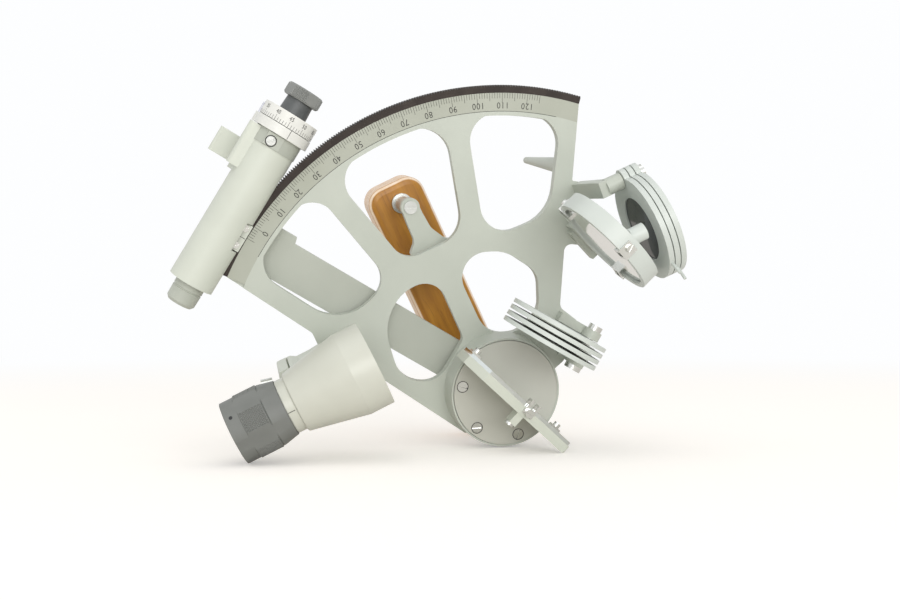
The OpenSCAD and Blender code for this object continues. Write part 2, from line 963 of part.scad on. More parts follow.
ear_lo = -index_shade_t / 2 - face_gap;
ear_hi = 3 * shade_step + index_shade_t / 2 + face_gap;
ears = [[ear_lo - 3.8, ear_lo], [ear_hi, ear_hi + 5.1]];
module index_shade_bracket() {
    base_y = index_pivot[1] + shade_ear_r + face_gap;
    color("#bcc5b7")
        stand()
            on_index_shade(0)
                difference() {
                    union() {
                        for (e = ears) {
                            translate([index_pivot[0], index_pivot[1], e[0]])
                                cylinder(h = e[1] - e[0], r = shade_ear_r - 0.7);
                            block([index_pivot[0] - shade_ear_r + 0.7, index_pivot[1], e[0]],
                                [index_pivot[0] + shade_ear_r - 0.7, optic_y, e[1]]);
                        }
                        block([index_pivot[0] - 9, base_y, ears[0][0]],
                            [index_pivot[0] + shade_ear_r - 0.7, optic_y, ear_hi + 1]);
                        block([index_pivot[0] - 20.5, optic_y - 6, ears[1][0]],
                            [index_pivot[0], optic_y, ears[1][1]]);
                    }
                    translate([index_pivot[0], index_pivot[1], ears[0][0] - 1])
                        cylinder(h = ears[1][1] - ears[0][0] + 2, r = shade_pin_r);
                }
}

module index_shade_pin() {
    color("#d9dbd8")
        stand()
            on_index_shade(0)
                translate([index_pivot[0], index_pivot[1], 0]) {
                    tube(ears[0][0], ears[1][1], shade_pin_r);
                    tube(ears[1][1], ears[1][1] + 3, 4);
                    translate([0, 0, ears[0][0]])
                        rotate([180, 0, 0])
                            slotted_head(4.8, 2.8);
                }
}

module index_shade(i) {
    reach = norm(index_pivot);
    color("#b9c2b4")
        stand()
            on_index_shade(i)
                difference() {
                    union() {
                        cylinder(h = index_shade_t, r = index_shade_r, center = true);
                        rotate([0, 0, atan2(index_pivot[1], index_pivot[0])])
                            block([0, 0.6 - shade_ear_r, -index_shade_t / 2],
                                [reach, shade_ear_r - 0.6, index_shade_t / 2]);
                        translate([index_pivot[0], index_pivot[1], -index_shade_t / 2])
                            cylinder(h = index_shade_t, r = shade_ear_r);
                    }
                    pane_seat(index_pane_r, index_shade_t);
                    translate([index_pivot[0], index_pivot[1], -index_shade_t])
                        cylinder(h = 2 * index_shade_t, r = shade_pin_r + run_gap);
                }
}

module index_shade_1() {
    index_shade(0);
}

module index_shade_2() {
    index_shade(1);
}

module index_shade_3() {
    index_shade(2);
}

module index_shade_4() {
    index_shade(3);
}

module index_pane(i) {
    color("#20242a")
        stand()
            on_index_shade(i)
                translate([0, 0, -pane_t / 2])
                    cylinder(h = pane_t, r = index_pane_r);
}

module index_pane_1() {
    index_pane(0);
}

module index_pane_2() {
    index_pane(1);
}

module index_pane_3() {
    index_pane(2);
}

module index_pane_4() {
    index_pane(3);
}

stud_r = 5;
arm_side = 12.4;
module index_arm() {
    low = arm_side - arm_w;
    step_r = scale_r - 24;
    end_r = worm_axis_r - sqrt(barrel_r * barrel_r - pow(arm_y0 - worm_y, 2));
    color("#aeb6ab")
        stand()
            on_arm()
                difference() {
                    union() {
                        slab(arm_y0, arm_y1)
                            polygon([[0, low], [step_r, low], [step_r + 1, low - 3.6],
                                [end_r, low - 3.6], [end_r, arm_side], [0, arm_side]]);
                        rod([0, 0], arm_y0, arm_y1, arm_hub_r);
                    }
                    rod([0, 0], arm_y0 - 1, arm_y1 + 1, axle_r);
                }
}

screw_ring_r = 24.9;
screw_turns = [169, 229, 286.5];
index_screw_r = 1.6;
module index_screw_places() {
    for (a = screw_turns)
        translate([screw_ring_r * cos(a), -disc_front, screw_ring_r * sin(a)])
            rotate([-90, 0, 0])
                children();
}

module index_axle() {
    color("#b8bcbb")
        stand()
            difference() {
                union() {
                    rod([0, 0], -disc_back, -disc_back + flange_t, flange_r);
                    rod([0, 0], -disc_back, arm_y1, axle_r);
                    rod([0, 0], arm_y1, arm_y1 + 5.5, stud_r);
                }
                index_screw_places()
                    cylinder(h = disc_t + 2, r = index_screw_r);
            }
}

module axle_nut() {
    color("#c9cdca")
        stand()
            difference() {
                translate([0, arm_y1, 0])
                    rotate([-90, 0, 0])
                        cylinder(h = 4.5, r = axle_r + 1.5, $fn = 6);
                rod([0, 0], arm_y1 - 1, arm_y1 + 6, stud_r);
            }
}

screw_head_h = 1.7;
module index_disc() {
    color("#8f978c")
        stand()
            difference() {
                rod([0, 0], -disc_front, -disc_back, disc_r);
                index_screw_places() {
                    cylinder(h = disc_t + 1, r = index_screw_r);
                    translate([0, 0, -1])
                        cylinder(h = screw_head_h + 1, r = 3.2);
                }
            }
}

module index_screws() {
    turns = [-20, 0, 70];
    color("#d9dbd8")
        stand() {
            for (k = [0:2])
                let (a = screw_turns[k])
                    translate([screw_ring_r * cos(a), -disc_front, screw_ring_r * sin(a)])
                        rotate([-90, 0, 0]) {
                            translate([0, 0, screw_head_h])
                                rotate([180, 0, 0])
                                    slotted_head(2.9, screw_head_h, turns[k]);
                            tube(screw_head_h, disc_t + 2, index_screw_r);
                        }
            mirror_screws();
            plate_screws();
        }
}

mirror_x0 = -index_len / 2 + 0.3;
mirror_x1 = mirror_corner[0];
mirror_z0 = mirror_corner[2];
mirror_z1 = mirror_z0 + index_back_t;
mirror_z2 = mirror_z1 + index_glass_t;

// The mirror frame seen from the side, with its chamfered corner.
module mirror_side(inset) {
    polygon([
        [mirror_x0 + inset, inset],
        [mirror_x1 - inset, inset],
        [mirror_x1 - inset, index_h - mirror_chamfer - inset],
        [mirror_x1 - mirror_chamfer - inset, index_h - inset],
        [mirror_x0 + 10.5 + inset / 2, index_h - inset],
        [mirror_x0 + inset, index_h - 12.5 - inset]
    ]);
}

// Local y runs away from the front, so the side view is drawn towards the viewer.
module mirror_plate(z0, z1, inset) {
    translate([0, 0, z0])
        linear_extrude(z1 - z0)
            mirror([0, 1])
                mirror_side(inset);
}

stub_len = 6.6;
module index_mirror_frame() {
    color("#bcc5b7")
        difference() {
            stand()
                on_index_mirror() {
                    mirror_plate(mirror_z0, mirror_z1, 0);
                    block([mirror_x0 + 2, -0.6, mirror_z1], [mirror_x1 - 2, 0, mirror_z2]);
                    block([1.2, -index_h + 0.6, mirror_z0 - stub_len], [5.5, -index_h + 7.6, mirror_z0]);
                }
            translate([-20, -20, -10])
                cube([40, 40, 10]);
        }
}

module index_mirror_glass() {
    color("#dfe6e6")
        stand()
            on_index_mirror()
                mirror_plate(mirror_z1, mirror_z2, 0.6);
}

clip_x = [2.9, 7.9];
module index_mirror_clips() {
    tip = mirror_z2 + 3.2;
    color("#d9dbd8")
        stand()
            on_index_mirror() {
                for (x = clip_x) {
                    block([x - 0.8, -index_h - 1, -1.3], [x + 0.8, -index_h, tip]);
                    block([x - 0.8, -index_h, tip - 1], [x + 0.8, -index_h + 4.5, tip]);
                    block([x - 0.8, -index_h + 3.5, mirror_z2], [x + 0.8, -index_h + 4.5, tip]);
                }
                block([clip_x[0], -index_h - 1, -1.3], [clip_x[1], -index_h, 0.9]);
                for (x = [mirror_x0 + 4, mirror_x1 - 5.5])
                    block([x - 3, -12, mirror_z2], [x + 3, -7, mirror_z2 + 1.2]);
            }
}

module mirror_screws() {
    on_index_mirror() {
        translate([5.4, -index_h - 1, 0.5])
            rotate([90, 0, 0])
                slotted_head(2.3, 1.5, 10);
        for (x = [mirror_x0 + 4, mirror_x1 - 5.5])
            translate([x, -9.5, mirror_z2 + 1.2])
                slotted_head(2, 2.2);
        translate([3.35, -index_h + 4.1, mirror_z0 - stub_len])
            rotate([180, 0, 0])
                slotted_head(2.8, 1.4);
    }
}

lever_axis = [worm_axis_r + 11, worm_y + 13.2];
lever_pin_r = 1.5;
lever_s0 = 30;
lever_s1 = 44;

// A piece drawn across the worm's axis, in distance from the index axis and depth.
module across(s0, s1) {
    on_arm()
        translate([0, 0, -s1])
            linear_extrude(s1 - s0)
                children();
}

module worm_barrel() {
    color("#bcc5b7")
        stand()
            difference() {
                union() {
                    on_worm()
                        tube(barrel_s0, barrel_s1, barrel_r);
                    across(lever_s0, collar_s1 - 0.5)
                        polygon(rounded([
                            [worm_axis_r + 8, worm_y - 7, 0],
                            [worm_axis_r + 17, worm_y - 6, 2.5],
                            [worm_axis_r + 17, worm_y + 1, 2.5],
                            [worm_axis_r + 8, worm_y + 5, 0]
                        ]));
                    for (s = [lever_s0 - face_gap - 2.6, lever_s1 + face_gap])
                        across(s, s + 2.6) {
                            translate(lever_axis)
                                circle(3.4);
                            polygon([
                                [worm_axis_r + 2, worm_y + 8],
                                [worm_axis_r + 9, worm_y + 3],
                                [lever_axis[0] + 3.2, lever_axis[1] - 1.2],
                                [lever_axis[0] - 2.6, lever_axis[1] + 2.2]
                            ]);
                        }
                    on_arm()
                        slab(arm_y1, arm_y1 + 3)
                            translate([scale_r - 12, -10])
                                square([worm_axis_r - scale_r + 12, 20]);
                    on_worm()
                        translate([worm_axis_r - lever_axis[0], lever_axis[1] - worm_y, 0])
                            tube(lever_s0 - face_gap - 1, lever_s1 + face_gap + 1, lever_pin_r);
                }
                on_worm() {
                    tube(barrel_s0 + 4, barrel_s1 - 4, worm_r + 0.7);
                    tube(barrel_s0 - 1, barrel_s1 + 1, journal_r + run_gap);
                    tube(barrel_s1, collar_s1 + 1, barrel_r + 0.4);
                }
                rod([0, 0], -0.6, arm_y0, rack_tip_r + 0.5);
                on_arm()
                    block([scale_r - 2, -strip_t - 4, -8], [index_plate_r, 0, 8.4]);
            }
}

module barrel_cap() {
    color("#bcc5b7")
        stand()
            on_worm()
                rotate_extrude()
                    polygon([
                        [0, barrel_s0 - 12.5],
                        [6.5, barrel_s0 - 12.5],
                        [7.8, barrel_s0 - 11],
                        [8, barrel_s0 - 4.6],
                        [7.6, barrel_s0 - 4.3],
                        [7.6, barrel_s0 - 3.9],
                        [8, barrel_s0 - 3.6],
                        [8, barrel_s0],
                        [0, barrel_s0]
                    ]);
}

module barrel_collar() {
    color("#b4bdb0")
        stand()
            difference() {
                on_worm() {
                    tube(barrel_s1, collar_s1, barrel_r + 0.4);
                    block([-6.5, -barrel_r - 0.6, barrel_s1 + 0.4], [2.5, 0, collar_s1 - 0.4]);
                }
                on_worm()
                    tube(barrel_s1 - 1, collar_s1 + 1, journal_r + run_gap);
            }
}

index_plate_r = scale_r + 7.8;
module index_plate() {
    color("#d5d8d2")
        stand()
            difference() {
                on_arm()
                    block([scale_r + 0.5, -1, -7.6], [worm_axis_r - worm_r + 0.5, 0, 7.8]);
                plate_screw_places()
                    tube(-2, 2, 1);
            }
}

module plate_screw_places() {
    for (s = [-5, 5])
        on_arm()
            translate([scale_r + 3.4, 0, s])
                rotate([90, 0, 0])
                    children();
}

module plate_screws() {
    plate_screw_places() {
        tube(0, 1, 1);
        translate([0, 0, 1])
            slotted_head(1.9, 0.7, 40);
    }
}

light_place = [-13.2, 12.1, 0];
module drum_index_ring() {
    color("#e8ebe8")
        stand()
            on_worm()
                difference() {
                    union() {
                        tube(collar_s1, ring_s1, drum_r + 0.3);
                        translate(light_place)
                            tube(collar_s1, ring_s1, 3);
                    }
                    tube(collar_s1 - 1, ring_s1 + 1, journal_r + 1);
                }
}

module light_post() {
    color("#e3e7e8")
        stand()
            on_worm()
                translate(light_place)
                    tube(ring_s1, ring_s1 + 6, 2.2);
}

lever_w = 3.2;
module release_lever() {
    color("#c6cdc2")
        stand()
            difference() {
                across(lever_s0, lever_s1) {
                    translate(lever_axis)
                        circle(3.2);
                    polygon(rounded([[lever_axis[0], lever_axis[1] - lever_w / 2, 0],
                        [lever_axis[0] + 16.5, lever_axis[1] - lever_w / 2, 1.5],
                        [lever_axis[0] + 16.5, lever_axis[1] + lever_w / 2, 1.5],
                        [lever_axis[0], lever_axis[1] + lever_w / 2, 0]]));
                }
                on_worm()
                    translate([worm_axis_r - lever_axis[0], lever_axis[1] - worm_y, 0])
                        tube(lever_s0 - 1, lever_s1 + 1, lever_pin_r + run_gap);
            }
}

module worm_shaft() {
    color("#8c9092")
        stand()
            on_worm() {
                tube(barrel_s0, drum_s0, journal_r);
                tube(-12, 12, worm_r);
                tube(12, 15, 6);
                tube(-15, -12, 6);
                tube(drum_s0, knob_s1 - 1, journal_r - 1);
            }
}

module micrometer_drum() {
    color("#f1f1ee")
        stand()
            on_worm()
                difference() {
                    tube(drum_s0, drum_s1, drum_r);
                    tube(drum_s0 - 1, drum_s1 + 1, journal_r - 1);
                }
}

module drum_knob() {
    color("#4a4e50")
        stand()
            on_worm()
                difference() {
                    rotate_extrude()
                        polygon([
                            [0, drum_s1],
                            [7.6, drum_s1],
                            [7.2, neck_s1],
                            [knob_r - 0.8, neck_s1],
                            [knob_r, neck_s1 + 0.8],
                            [knob_r, knob_s1 - 0.8],
                            [knob_r - 0.8, knob_s1],
                            [0, knob_s1]
                        ]);
                    tube(drum_s1 - 1, knob_s1 - 1, journal_r - 1);
                }
}

frame_plate();
scale_strip();
toothed_rack();
pivot_bush();
feet();
handle_grip();
handle_bridge();
handle_upper_post();
handle_lower_post();
handle_screws();
telescope_bracket();
clamp_knob();
telescope_body();
objective_ring();
objective_lens();
focus_sleeve();
eyepiece_cell();
eye_lens();
horizon_base();
horizon_housing();
horizon_glass();
horizon_seal();
horizon_clips();
horizon_screws();
horizon_shade_arm();
horizon_shade_pin();
horizon_shade_1();
horizon_shade_2();
horizon_shade_3();
horizon_pane_1();
horizon_pane_2();
horizon_pane_3();
index_shade_bracket();
index_shade_pin();
index_shade_1();
index_shade_2();
index_shade_3();
index_shade_4();
index_pane_1();
index_pane_2();
index_pane_3();
index_pane_4();
index_arm();
index_axle();
axle_nut();
index_disc();
index_screws();
index_mirror_frame();
index_mirror_glass();
index_mirror_clips();
worm_barrel();
barrel_cap();
barrel_collar();
index_plate();
drum_index_ring();
light_post();
release_lever();
worm_shaft();
micrometer_drum();
drum_knob();
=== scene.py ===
import bpy
import json
import math
import numpy as np
from mathutils import Matrix


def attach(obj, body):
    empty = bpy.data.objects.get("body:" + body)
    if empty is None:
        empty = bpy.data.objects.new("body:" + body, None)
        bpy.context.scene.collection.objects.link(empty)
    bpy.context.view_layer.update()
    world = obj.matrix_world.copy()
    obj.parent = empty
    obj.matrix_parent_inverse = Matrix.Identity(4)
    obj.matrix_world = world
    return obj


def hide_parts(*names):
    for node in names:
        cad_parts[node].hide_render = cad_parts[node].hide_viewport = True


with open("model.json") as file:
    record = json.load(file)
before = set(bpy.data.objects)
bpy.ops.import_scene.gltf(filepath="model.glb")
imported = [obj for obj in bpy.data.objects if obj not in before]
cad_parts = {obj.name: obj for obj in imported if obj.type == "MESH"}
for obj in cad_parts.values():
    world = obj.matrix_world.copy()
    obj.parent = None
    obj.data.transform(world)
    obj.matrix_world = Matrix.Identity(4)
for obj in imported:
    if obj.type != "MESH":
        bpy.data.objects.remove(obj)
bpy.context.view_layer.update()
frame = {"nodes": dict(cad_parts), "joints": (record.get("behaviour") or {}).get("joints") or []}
nodes = frame["nodes"]
joints = {joint["name"]: joint for joint in frame["joints"]}
print("frame loaded:", len(nodes), "nodes")

# The sextant's own directions: x to the right and z up in the plate, y away from the scale.
# The arm's axis gives y, and the worm's axis lies in the plate at a known angle from x.
# Angles are degrees above x, and lengths are millimetres from the arm's axis in the plate's front face.
# The joint's own position lies pivotDepth behind that face.
layout = {"wormTurn": 57.76, "armTurn": 147.76, "sightTurn": 24.73, "wormRadius": 174.5, "wormY": 4.0,
          "hoodCentre": (-76.8, -42.0, 27.5), "pivotDepth": 4.0}


def unit(vector):
    vector = np.asarray(vector, float)
    return vector / np.linalg.norm(vector)


awayAxis = unit(joints["index_swing"]["axis"])
wormAxis = unit(joints["drum_spin"]["axis"])
crossAxis = np.cross(wormAxis, awayAxis)
wormTurn = math.radians(layout["wormTurn"])
rightAxis = wormAxis * math.cos(wormTurn) - crossAxis * math.sin(wormTurn)
upAxis = wormAxis * math.sin(wormTurn) + crossAxis * math.cos(wormTurn)
turnMatrix = np.array([rightAxis, awayAxis, upAxis])
armPivot = np.array(joints["index_swing"]["pos_m"], float) - layout["pivotDepth"] / 1000 * awayAxis
away = np.array([0, 1.0, 0])


def place(points):
    # sextant millimetres to row metres
    return armPivot + np.asarray(points, float) @ turnMatrix / 1000


def inPlate(angle):
    # a direction in the plate, from degrees above x
    return np.array([math.cos(math.radians(angle)), 0.0, math.sin(math.radians(angle))])


def linear(code):
    # sRGB hex to linear light
    parts = np.array([int(code[i:i + 2], 16) for i in (1, 3, 5)]) / 255
    return (*np.where(parts <= 0.04045, parts / 12.92, ((parts + 0.055) / 1.055) ** 2.4), 1.0)


def newObject(name, data):
    made = bpy.data.objects.new(name, data)
    bpy.context.scene.collection.objects.link(made)
    return made


def facing(side, top, back, spot):
    # the matrix of a camera or lamp at spot that looks against back
    matrix = np.eye(4)
    matrix[:3] = np.stack([side, top, back, spot], axis=1)
    return Matrix(matrix.tolist())


# Camera: a 44 mm lens on a 36 mm sensor, about 0.6 m in front of the plate.
cameraLook = {"eye": (-155.8, -575.4, 153.5), "back": (-0.2127, -0.9618, 0.1721),
              "right": (0.9764, -0.2159, 0.0), "lens": 43.76, "sensor": 36}
backAxis = unit(np.array(cameraLook["back"]) @ turnMatrix)
sideAxis = unit(np.array(cameraLook["right"]) @ turnMatrix)
sideAxis = unit(sideAxis - backAxis * sideAxis.dot(backAxis))
cameraData = bpy.data.cameras.new("camera")
cameraData.lens = cameraLook["lens"]
cameraData.sensor_width = cameraLook["sensor"]
camera = newObject("camera", cameraData)
camera.matrix_world = facing(sideAxis, np.cross(backAxis, sideAxis), backAxis, place(cameraLook["eye"]))
bpy.context.scene.camera = camera
print("camera placed")


def addNode(tree, kind, settings=None, links=None):
    # one shader node with its settings and the links into it, each link from a (node, output) pair
    node = tree.nodes.new(kind)
    for key, value in (settings or {}).items():
        if isinstance(key, str) and key not in node.inputs:
            setattr(node, key, value)
        else:
            node.inputs[key].default_value = value
    for key, source in (links or {}).items():
        tree.links.new(source[0].outputs[source[1]], node.inputs[key])
    return node


def newMaterial(name):
    # a material without nodes, and its tree
    material = bpy.data.materials.new(name)
    material.use_nodes = True
    material.node_tree.nodes.clear()
    return material, material.node_tree


def ramp(tree, source, stops):
    # a colour ramp with its stops as (place, hex)
    node = addNode(tree, "ShaderNodeValToRGB", links={"Fac": source})
    elements = node.color_ramp.elements
    while len(elements) > 1:
        elements.remove(elements[-1])
    for index, (position, code) in enumerate(stops):
        element = elements[0] if index == 0 else elements.new(position)
        element.position = position
        element.color = linear(code)
    return node


def noise(tree, spot, sizeMm, settings):
    # noise whose features are about sizeMm across
    return addNode(tree, "ShaderNodeTexNoise", {"Scale": 1000 / sizeMm, **settings}, {"Vector": spot})


def remap(tree, source, start, end, settings=None):
    # a value carried from start...end to 0...1, or to the ends given in settings
    return addNode(tree, "ShaderNodeMapRange", {"From Min": start, "From Max": end, **(settings or {})},
                   {"Value": source})


# The colour mix node has sockets of the same name, so they are called by number.
mixShare, mixFirst, mixSecond, mixResult = 0, 6, 7, 2


def blend(tree, share, first, second):
    # two colours mixed by share
    return addNode(tree, "ShaderNodeMix", {"data_type": "RGBA"},
                   {mixShare: share, mixFirst: first, mixSecond: second})


def flatColour(tree, code):
    # one plain colour, as a (node, output) pair
    node = addNode(tree, "ShaderNodeRGB")
    node.outputs["Color"].default_value = linear(code)
    return node, "Color"


def bumped(tree, height, look):
    # the normal moved by a height, as a (node, output) pair
    return addNode(tree, "ShaderNodeBump", {"Strength": look["bump"], "Distance": look["bumpMm"] / 1000},
                   {"Height": height}), "Normal"


# Shared by every worked surface: where its two tones meet, and how sharply its specks start.
surfaceLook = {"toneFrom": 0.35, "toneTo": 0.65, "speckEdge": 0.05}


def coatedSurface(name, look):
    # A worked surface: two tones that drift over driftMm, specks of wear over speckMm,
    # and a fine grain of grainMm that moves the roughness and the bump.
    material, tree = newMaterial(name)
    spot = (addNode(tree, "ShaderNodeTexCoord"), "Object")
    drift = noise(tree, spot, look["driftMm"], {"Detail": 3.0, "Roughness": 0.55})
    tones = ramp(tree, (drift, "Fac"), [(surfaceLook["toneFrom"], look["tone"]),
                                        (surfaceLook["toneTo"], look["toneTwo"])])
    specks = noise(tree, spot, look["speckMm"], {"Detail": 4.0, "Roughness": 0.7})
    speckMask = ramp(tree, (specks, "Fac"), [(look["speckFrom"], "#000000"),
                                             (look["speckFrom"] + surfaceLook["speckEdge"], "#ffffff")])
    colour = blend(tree, (speckMask, "Color"), (tones, "Color"), flatColour(tree, look["speck"]))
    grain = (noise(tree, spot, look["grainMm"], {"Detail": 2.0}), "Fac")
    rough = remap(tree, grain, 0.0, 1.0, {"To Min": look["rough"] - look["roughSpread"],
                                          "To Max": look["rough"] + look["roughSpread"]})
    shader = addNode(tree, "ShaderNodeBsdfPrincipled", {"Metallic": look.get("metal", 0.0)},
                     {"Base Color": (colour, mixResult), "Roughness": (rough, "Result"),
                      "Normal": bumped(tree, grain, look)})
    if "index" in look:
        shader.inputs["IOR"].default_value = look["index"]
    addNode(tree, "ShaderNodeOutputMaterial", links={"Surface": (shader, "BSDF")})
    return material


# Stove enamel on cast aluminium: a satin grey-green skin with a very fine orange peel.
# Each kind has its own tones. The mirror frame's and the shade rings' lighter copies are painted light,
# the arm's darker copy is painted shade, and the scale's darker tone is partly painted shade.
enamelLook = {"tone": "#b7bcb1", "toneTwo": "#bdc2b7", "driftMm": 38, "speck": "#8e9088", "speckMm": 2.2,
              "speckFrom": 0.78, "grainMm": 0.5, "rough": 0.42, "roughSpread": 0.05, "bump": 0.25,
              "bumpMm": 0.02, "index": 1.5}


def enamel(name, tone, toneTwo, **changed):
    return coatedSurface(name, {**enamelLook, "tone": tone, "toneTwo": toneTwo, **changed})


castEnamel = coatedSurface("stovedEnamelCast", enamelLook)
# The scale's tone is its own satin finish, made darker as painted shade for the less lit top of the frame.
shadedScaleEnamel = enamel("stovedEnamelScale", "#a6a99b", "#adb0a3", rough=0.36)
# The arm, collar and cap take a darker copy: painted shade, as the arm lies behind the plate.
shadedArmEnamel = enamel("stovedEnamelArm", "#adb1a6", "#b3b7ac")
discEnamel = enamel("stovedEnamelDisc", "#bbbbb1", "#c1c1b7", rough=0.4)
# A lighter copy for the index mirror's frame: painted light.
litMirrorFrameEnamel = enamel("stovedEnamelMirrorFrame", "#c6cabd", "#ccd0c3")
# A lighter, bluer copy for the horizon mirror's housing and all shade rings: painted light.
litShadeRingEnamel = enamel("stovedEnamelShadeRings", "#c6ccc6", "#ccd2cc", rough=0.36)
paleEnamel = enamel("stovedEnamelPale", "#c9cdc1", "#cfd3c7")
tubeEnamel = enamel("stovedEnamelTube", "#c6c7bb", "#cccdc1", rough=0.34)

# Milled bronze, gone nearly black with oil.
darkBronze = coatedSurface("oiledBronzeMilled", {
    "tone": "#2a231f", "toneTwo": "#352e29", "driftMm": 9, "speck": "#8a8078", "speckMm": 0.9,
    "speckFrom": 0.68, "grainMm": 0.3, "rough": 0.48, "roughSpread": 0.1, "bump": 0.3, "bumpMm": 0.03,
    "metal": 0.55})
# Turned brass, a little tarnished.
bushBrass = coatedSurface("turnedBrass", {
    "tone": "#b99c5c", "toneTwo": "#c6a966", "driftMm": 12, "speck": "#86703f", "speckMm": 1.2,
    "speckFrom": 0.72, "grainMm": 0.25, "rough": 0.3, "roughSpread": 0.06, "bump": 0.2, "bumpMm": 0.01,
    "metal": 1.0})
# Nickel plate over turned brass, bright.
brightNickel = coatedSurface("nickelPlateTurned", {
    "tone": "#d3d4cf", "toneTwo": "#dddedb", "driftMm": 7, "speck": "#a5a6a0", "speckMm": 0.8,
    "speckFrom": 0.74, "grainMm": 0.2, "rough": 0.24, "roughSpread": 0.06, "bump": 0.15, "bumpMm": 0.01,
    "metal": 1.0})
# Turned steel with a light film of oil.
machinedSteel = coatedSurface("turnedSteel", {
    "tone": "#bdbfbc", "toneTwo": "#c8cac7", "driftMm": 9, "speck": "#8f918d", "speckMm": 1.0,
    "speckFrom": 0.73, "grainMm": 0.22, "rough": 0.33, "roughSpread": 0.07, "bump": 0.2, "bumpMm": 0.012,
    "metal": 1.0})
# Anodised aluminium, dyed mid grey for the sleeve: even and matt.
anodisedLook = {"tone": "#71736f", "toneTwo": "#787a76", "driftMm": 16, "speck": "#8f918d", "speckMm": 0.7,
                "speckFrom": 0.72, "grainMm": 0.25, "rough": 0.5, "roughSpread": 0.06, "bump": 0.3,
                "bumpMm": 0.015}
greyAnodised = coatedSurface("anodisedAluminiumGrey", anodisedLook)
# The same, dyed lighter for the drum knob's rim.
knobAnodised = coatedSurface("anodisedAluminiumMid", {
    **anodisedLook, "tone": "#80827f", "toneTwo": "#888a87", "speck": "#9fa19d", "rough": 0.45})
# The same, dyed darker for the knob's neck.
darkAnodised = coatedSurface("anodisedAluminiumDark", {
    **anodisedLook, "tone": "#4e5151", "toneTwo": "#575a5a", "driftMm": 12, "speck": "#85888a",
    "speckFrom": 0.7, "rough": 0.46})
# The same, dyed black inside the telescope; it also paints the shade in the sleeve's set-screw hole.
blackAnodisedAndHoleShade = coatedSurface("anodisedAluminiumBlack", {
    **anodisedLook, "tone": "#1d1e1f", "toneTwo": "#242526", "driftMm": 10, "speck": "#4a4b4c",
    "speckMm": 0.8, "grainMm": 0.3, "rough": 0.52, "bump": 0.25})
# Moulded black rubber.
rubberSeal = coatedSurface("mouldedRubber", {
    "tone": "#1a1b1b", "toneTwo": "#212222", "driftMm": 6, "speck": "#3a3b3b", "speckMm": 0.8,
    "speckFrom": 0.7, "grainMm": 0.3, "rough": 0.7, "roughSpread": 0.06, "bump": 0.3, "bumpMm": 0.02})
# Moulded white plastic of the drum.
drumPlastic = coatedSurface("mouldedWhitePlastic", {
    "tone": "#dcdcd6", "toneTwo": "#e2e2dd", "driftMm": 9, "speck": "#c9c8bf", "speckMm": 1.0,
    "speckFrom": 0.75, "grainMm": 0.4, "rough": 0.35, "roughSpread": 0.05, "bump": 0.15, "bumpMm": 0.01,
    "index": 1.49})
# Moulded milky acrylic of the light post.
milkPlastic = coatedSurface("mouldedMilkAcrylic", {
    "tone": "#d3d5df", "toneTwo": "#dcdde6", "driftMm": 5, "speck": "#b9bbc6", "speckMm": 0.9,
    "speckFrom": 0.8, "grainMm": 0.5, "rough": 0.2, "roughSpread": 0.05, "bump": 0.05, "bumpMm": 0.004})
# Black ink rubbed into engraved lines; the same black paints the shadow rings round the screw heads.
inkAndShadowBlack = coatedSurface("engravedInk", {
    "tone": "#2c2c29", "toneTwo": "#363631", "driftMm": 5, "speck": "#8a8b80", "speckMm": 0.5,
    "speckFrom": 0.7, "grainMm": 0.2, "rough": 0.6, "roughSpread": 0.05, "bump": 0.2, "bumpMm": 0.01})
# Silvered glass of the horizon mirror. It reflects the pale room, so it is clean and bright.
horizonSilver = coatedSurface("silveredMirrorGlassClean", {
    "tone": "#f4f6f3", "toneTwo": "#fbfcfa", "driftMm": 20, "speck": "#e6e9e4", "speckMm": 1.5,
    "speckFrom": 0.85, "grainMm": 0.8, "rough": 0.08, "roughSpread": 0.02, "bump": 0.02, "bumpMm": 0.002,
    "metal": 1.0})

# Shared by all glass: the spans of the noise over which dust dulls and tints it, what the dust adds
# to the roughness, and its bump.
dustLook = {"from": 0.45, "to": 0.8, "dulls": 0.12, "tintFrom": 0.4, "tintTo": 0.75, "bump": 0.05,
            "bumpMm": 0.01}


def glassSurface(name, look):
    # clear, dyed or silvered glass, with dust that dulls it here and there
    material, tree = newMaterial(name)
    spot = (addNode(tree, "ShaderNodeTexCoord"), "Object")
    dust = (noise(tree, spot, look["dustMm"], {"Detail": 4.0, "Roughness": 0.7}), "Fac")
    rough = remap(tree, dust, dustLook["from"], dustLook["to"],
                  {"To Min": look["rough"], "To Max": look["rough"] + dustLook["dulls"]})
    tint = ramp(tree, dust, [(dustLook["tintFrom"], look["tone"]), (dustLook["tintTo"], look["toneTwo"])])
    shader = addNode(tree, "ShaderNodeBsdfPrincipled",
                     {"Transmission Weight": look["clear"], "IOR": look["index"],
                      "Metallic": look.get("metal", 0.0)},
                     {"Base Color": (tint, "Color"), "Roughness": (rough, "Result"),
                      "Normal": bumped(tree, dust, dustLook)})
    addNode(tree, "ShaderNodeOutputMaterial", links={"Surface": (shader, "BSDF")})
    return material


# Polished crown glass of the lenses.
opticalGlass = glassSurface("polishedCrownGlass", {
    "tone": "#e9f0f2", "toneTwo": "#dde6ea", "dustMm": 9, "rough": 0.02, "clear": 0.9, "index": 1.52})
# Dyed glass of the shades, nearly opaque.
shadeGlass = glassSurface("dyedShadeGlass", {
    "tone": "#1c2022", "toneTwo": "#2a2f31", "dustMm": 6, "rough": 0.04, "clear": 0.25, "index": 1.52})
# Silvered glass of the index mirror.
silveredGlass = glassSurface("silveredMirrorGlass", {
    "tone": "#dfe4e2", "toneTwo": "#d3d9d6", "dustMm": 12, "rough": 0.05, "clear": 0.0, "index": 1.5,
    "metal": 1.0})


def dotPart(tree, spot, direction):
    # how far a place lies along a direction, as a (node, output) pair
    return addNode(tree, "ShaderNodeVectorMath", {"operation": "DOT_PRODUCT", 1: tuple(direction)},
                   {0: spot}), "Value"


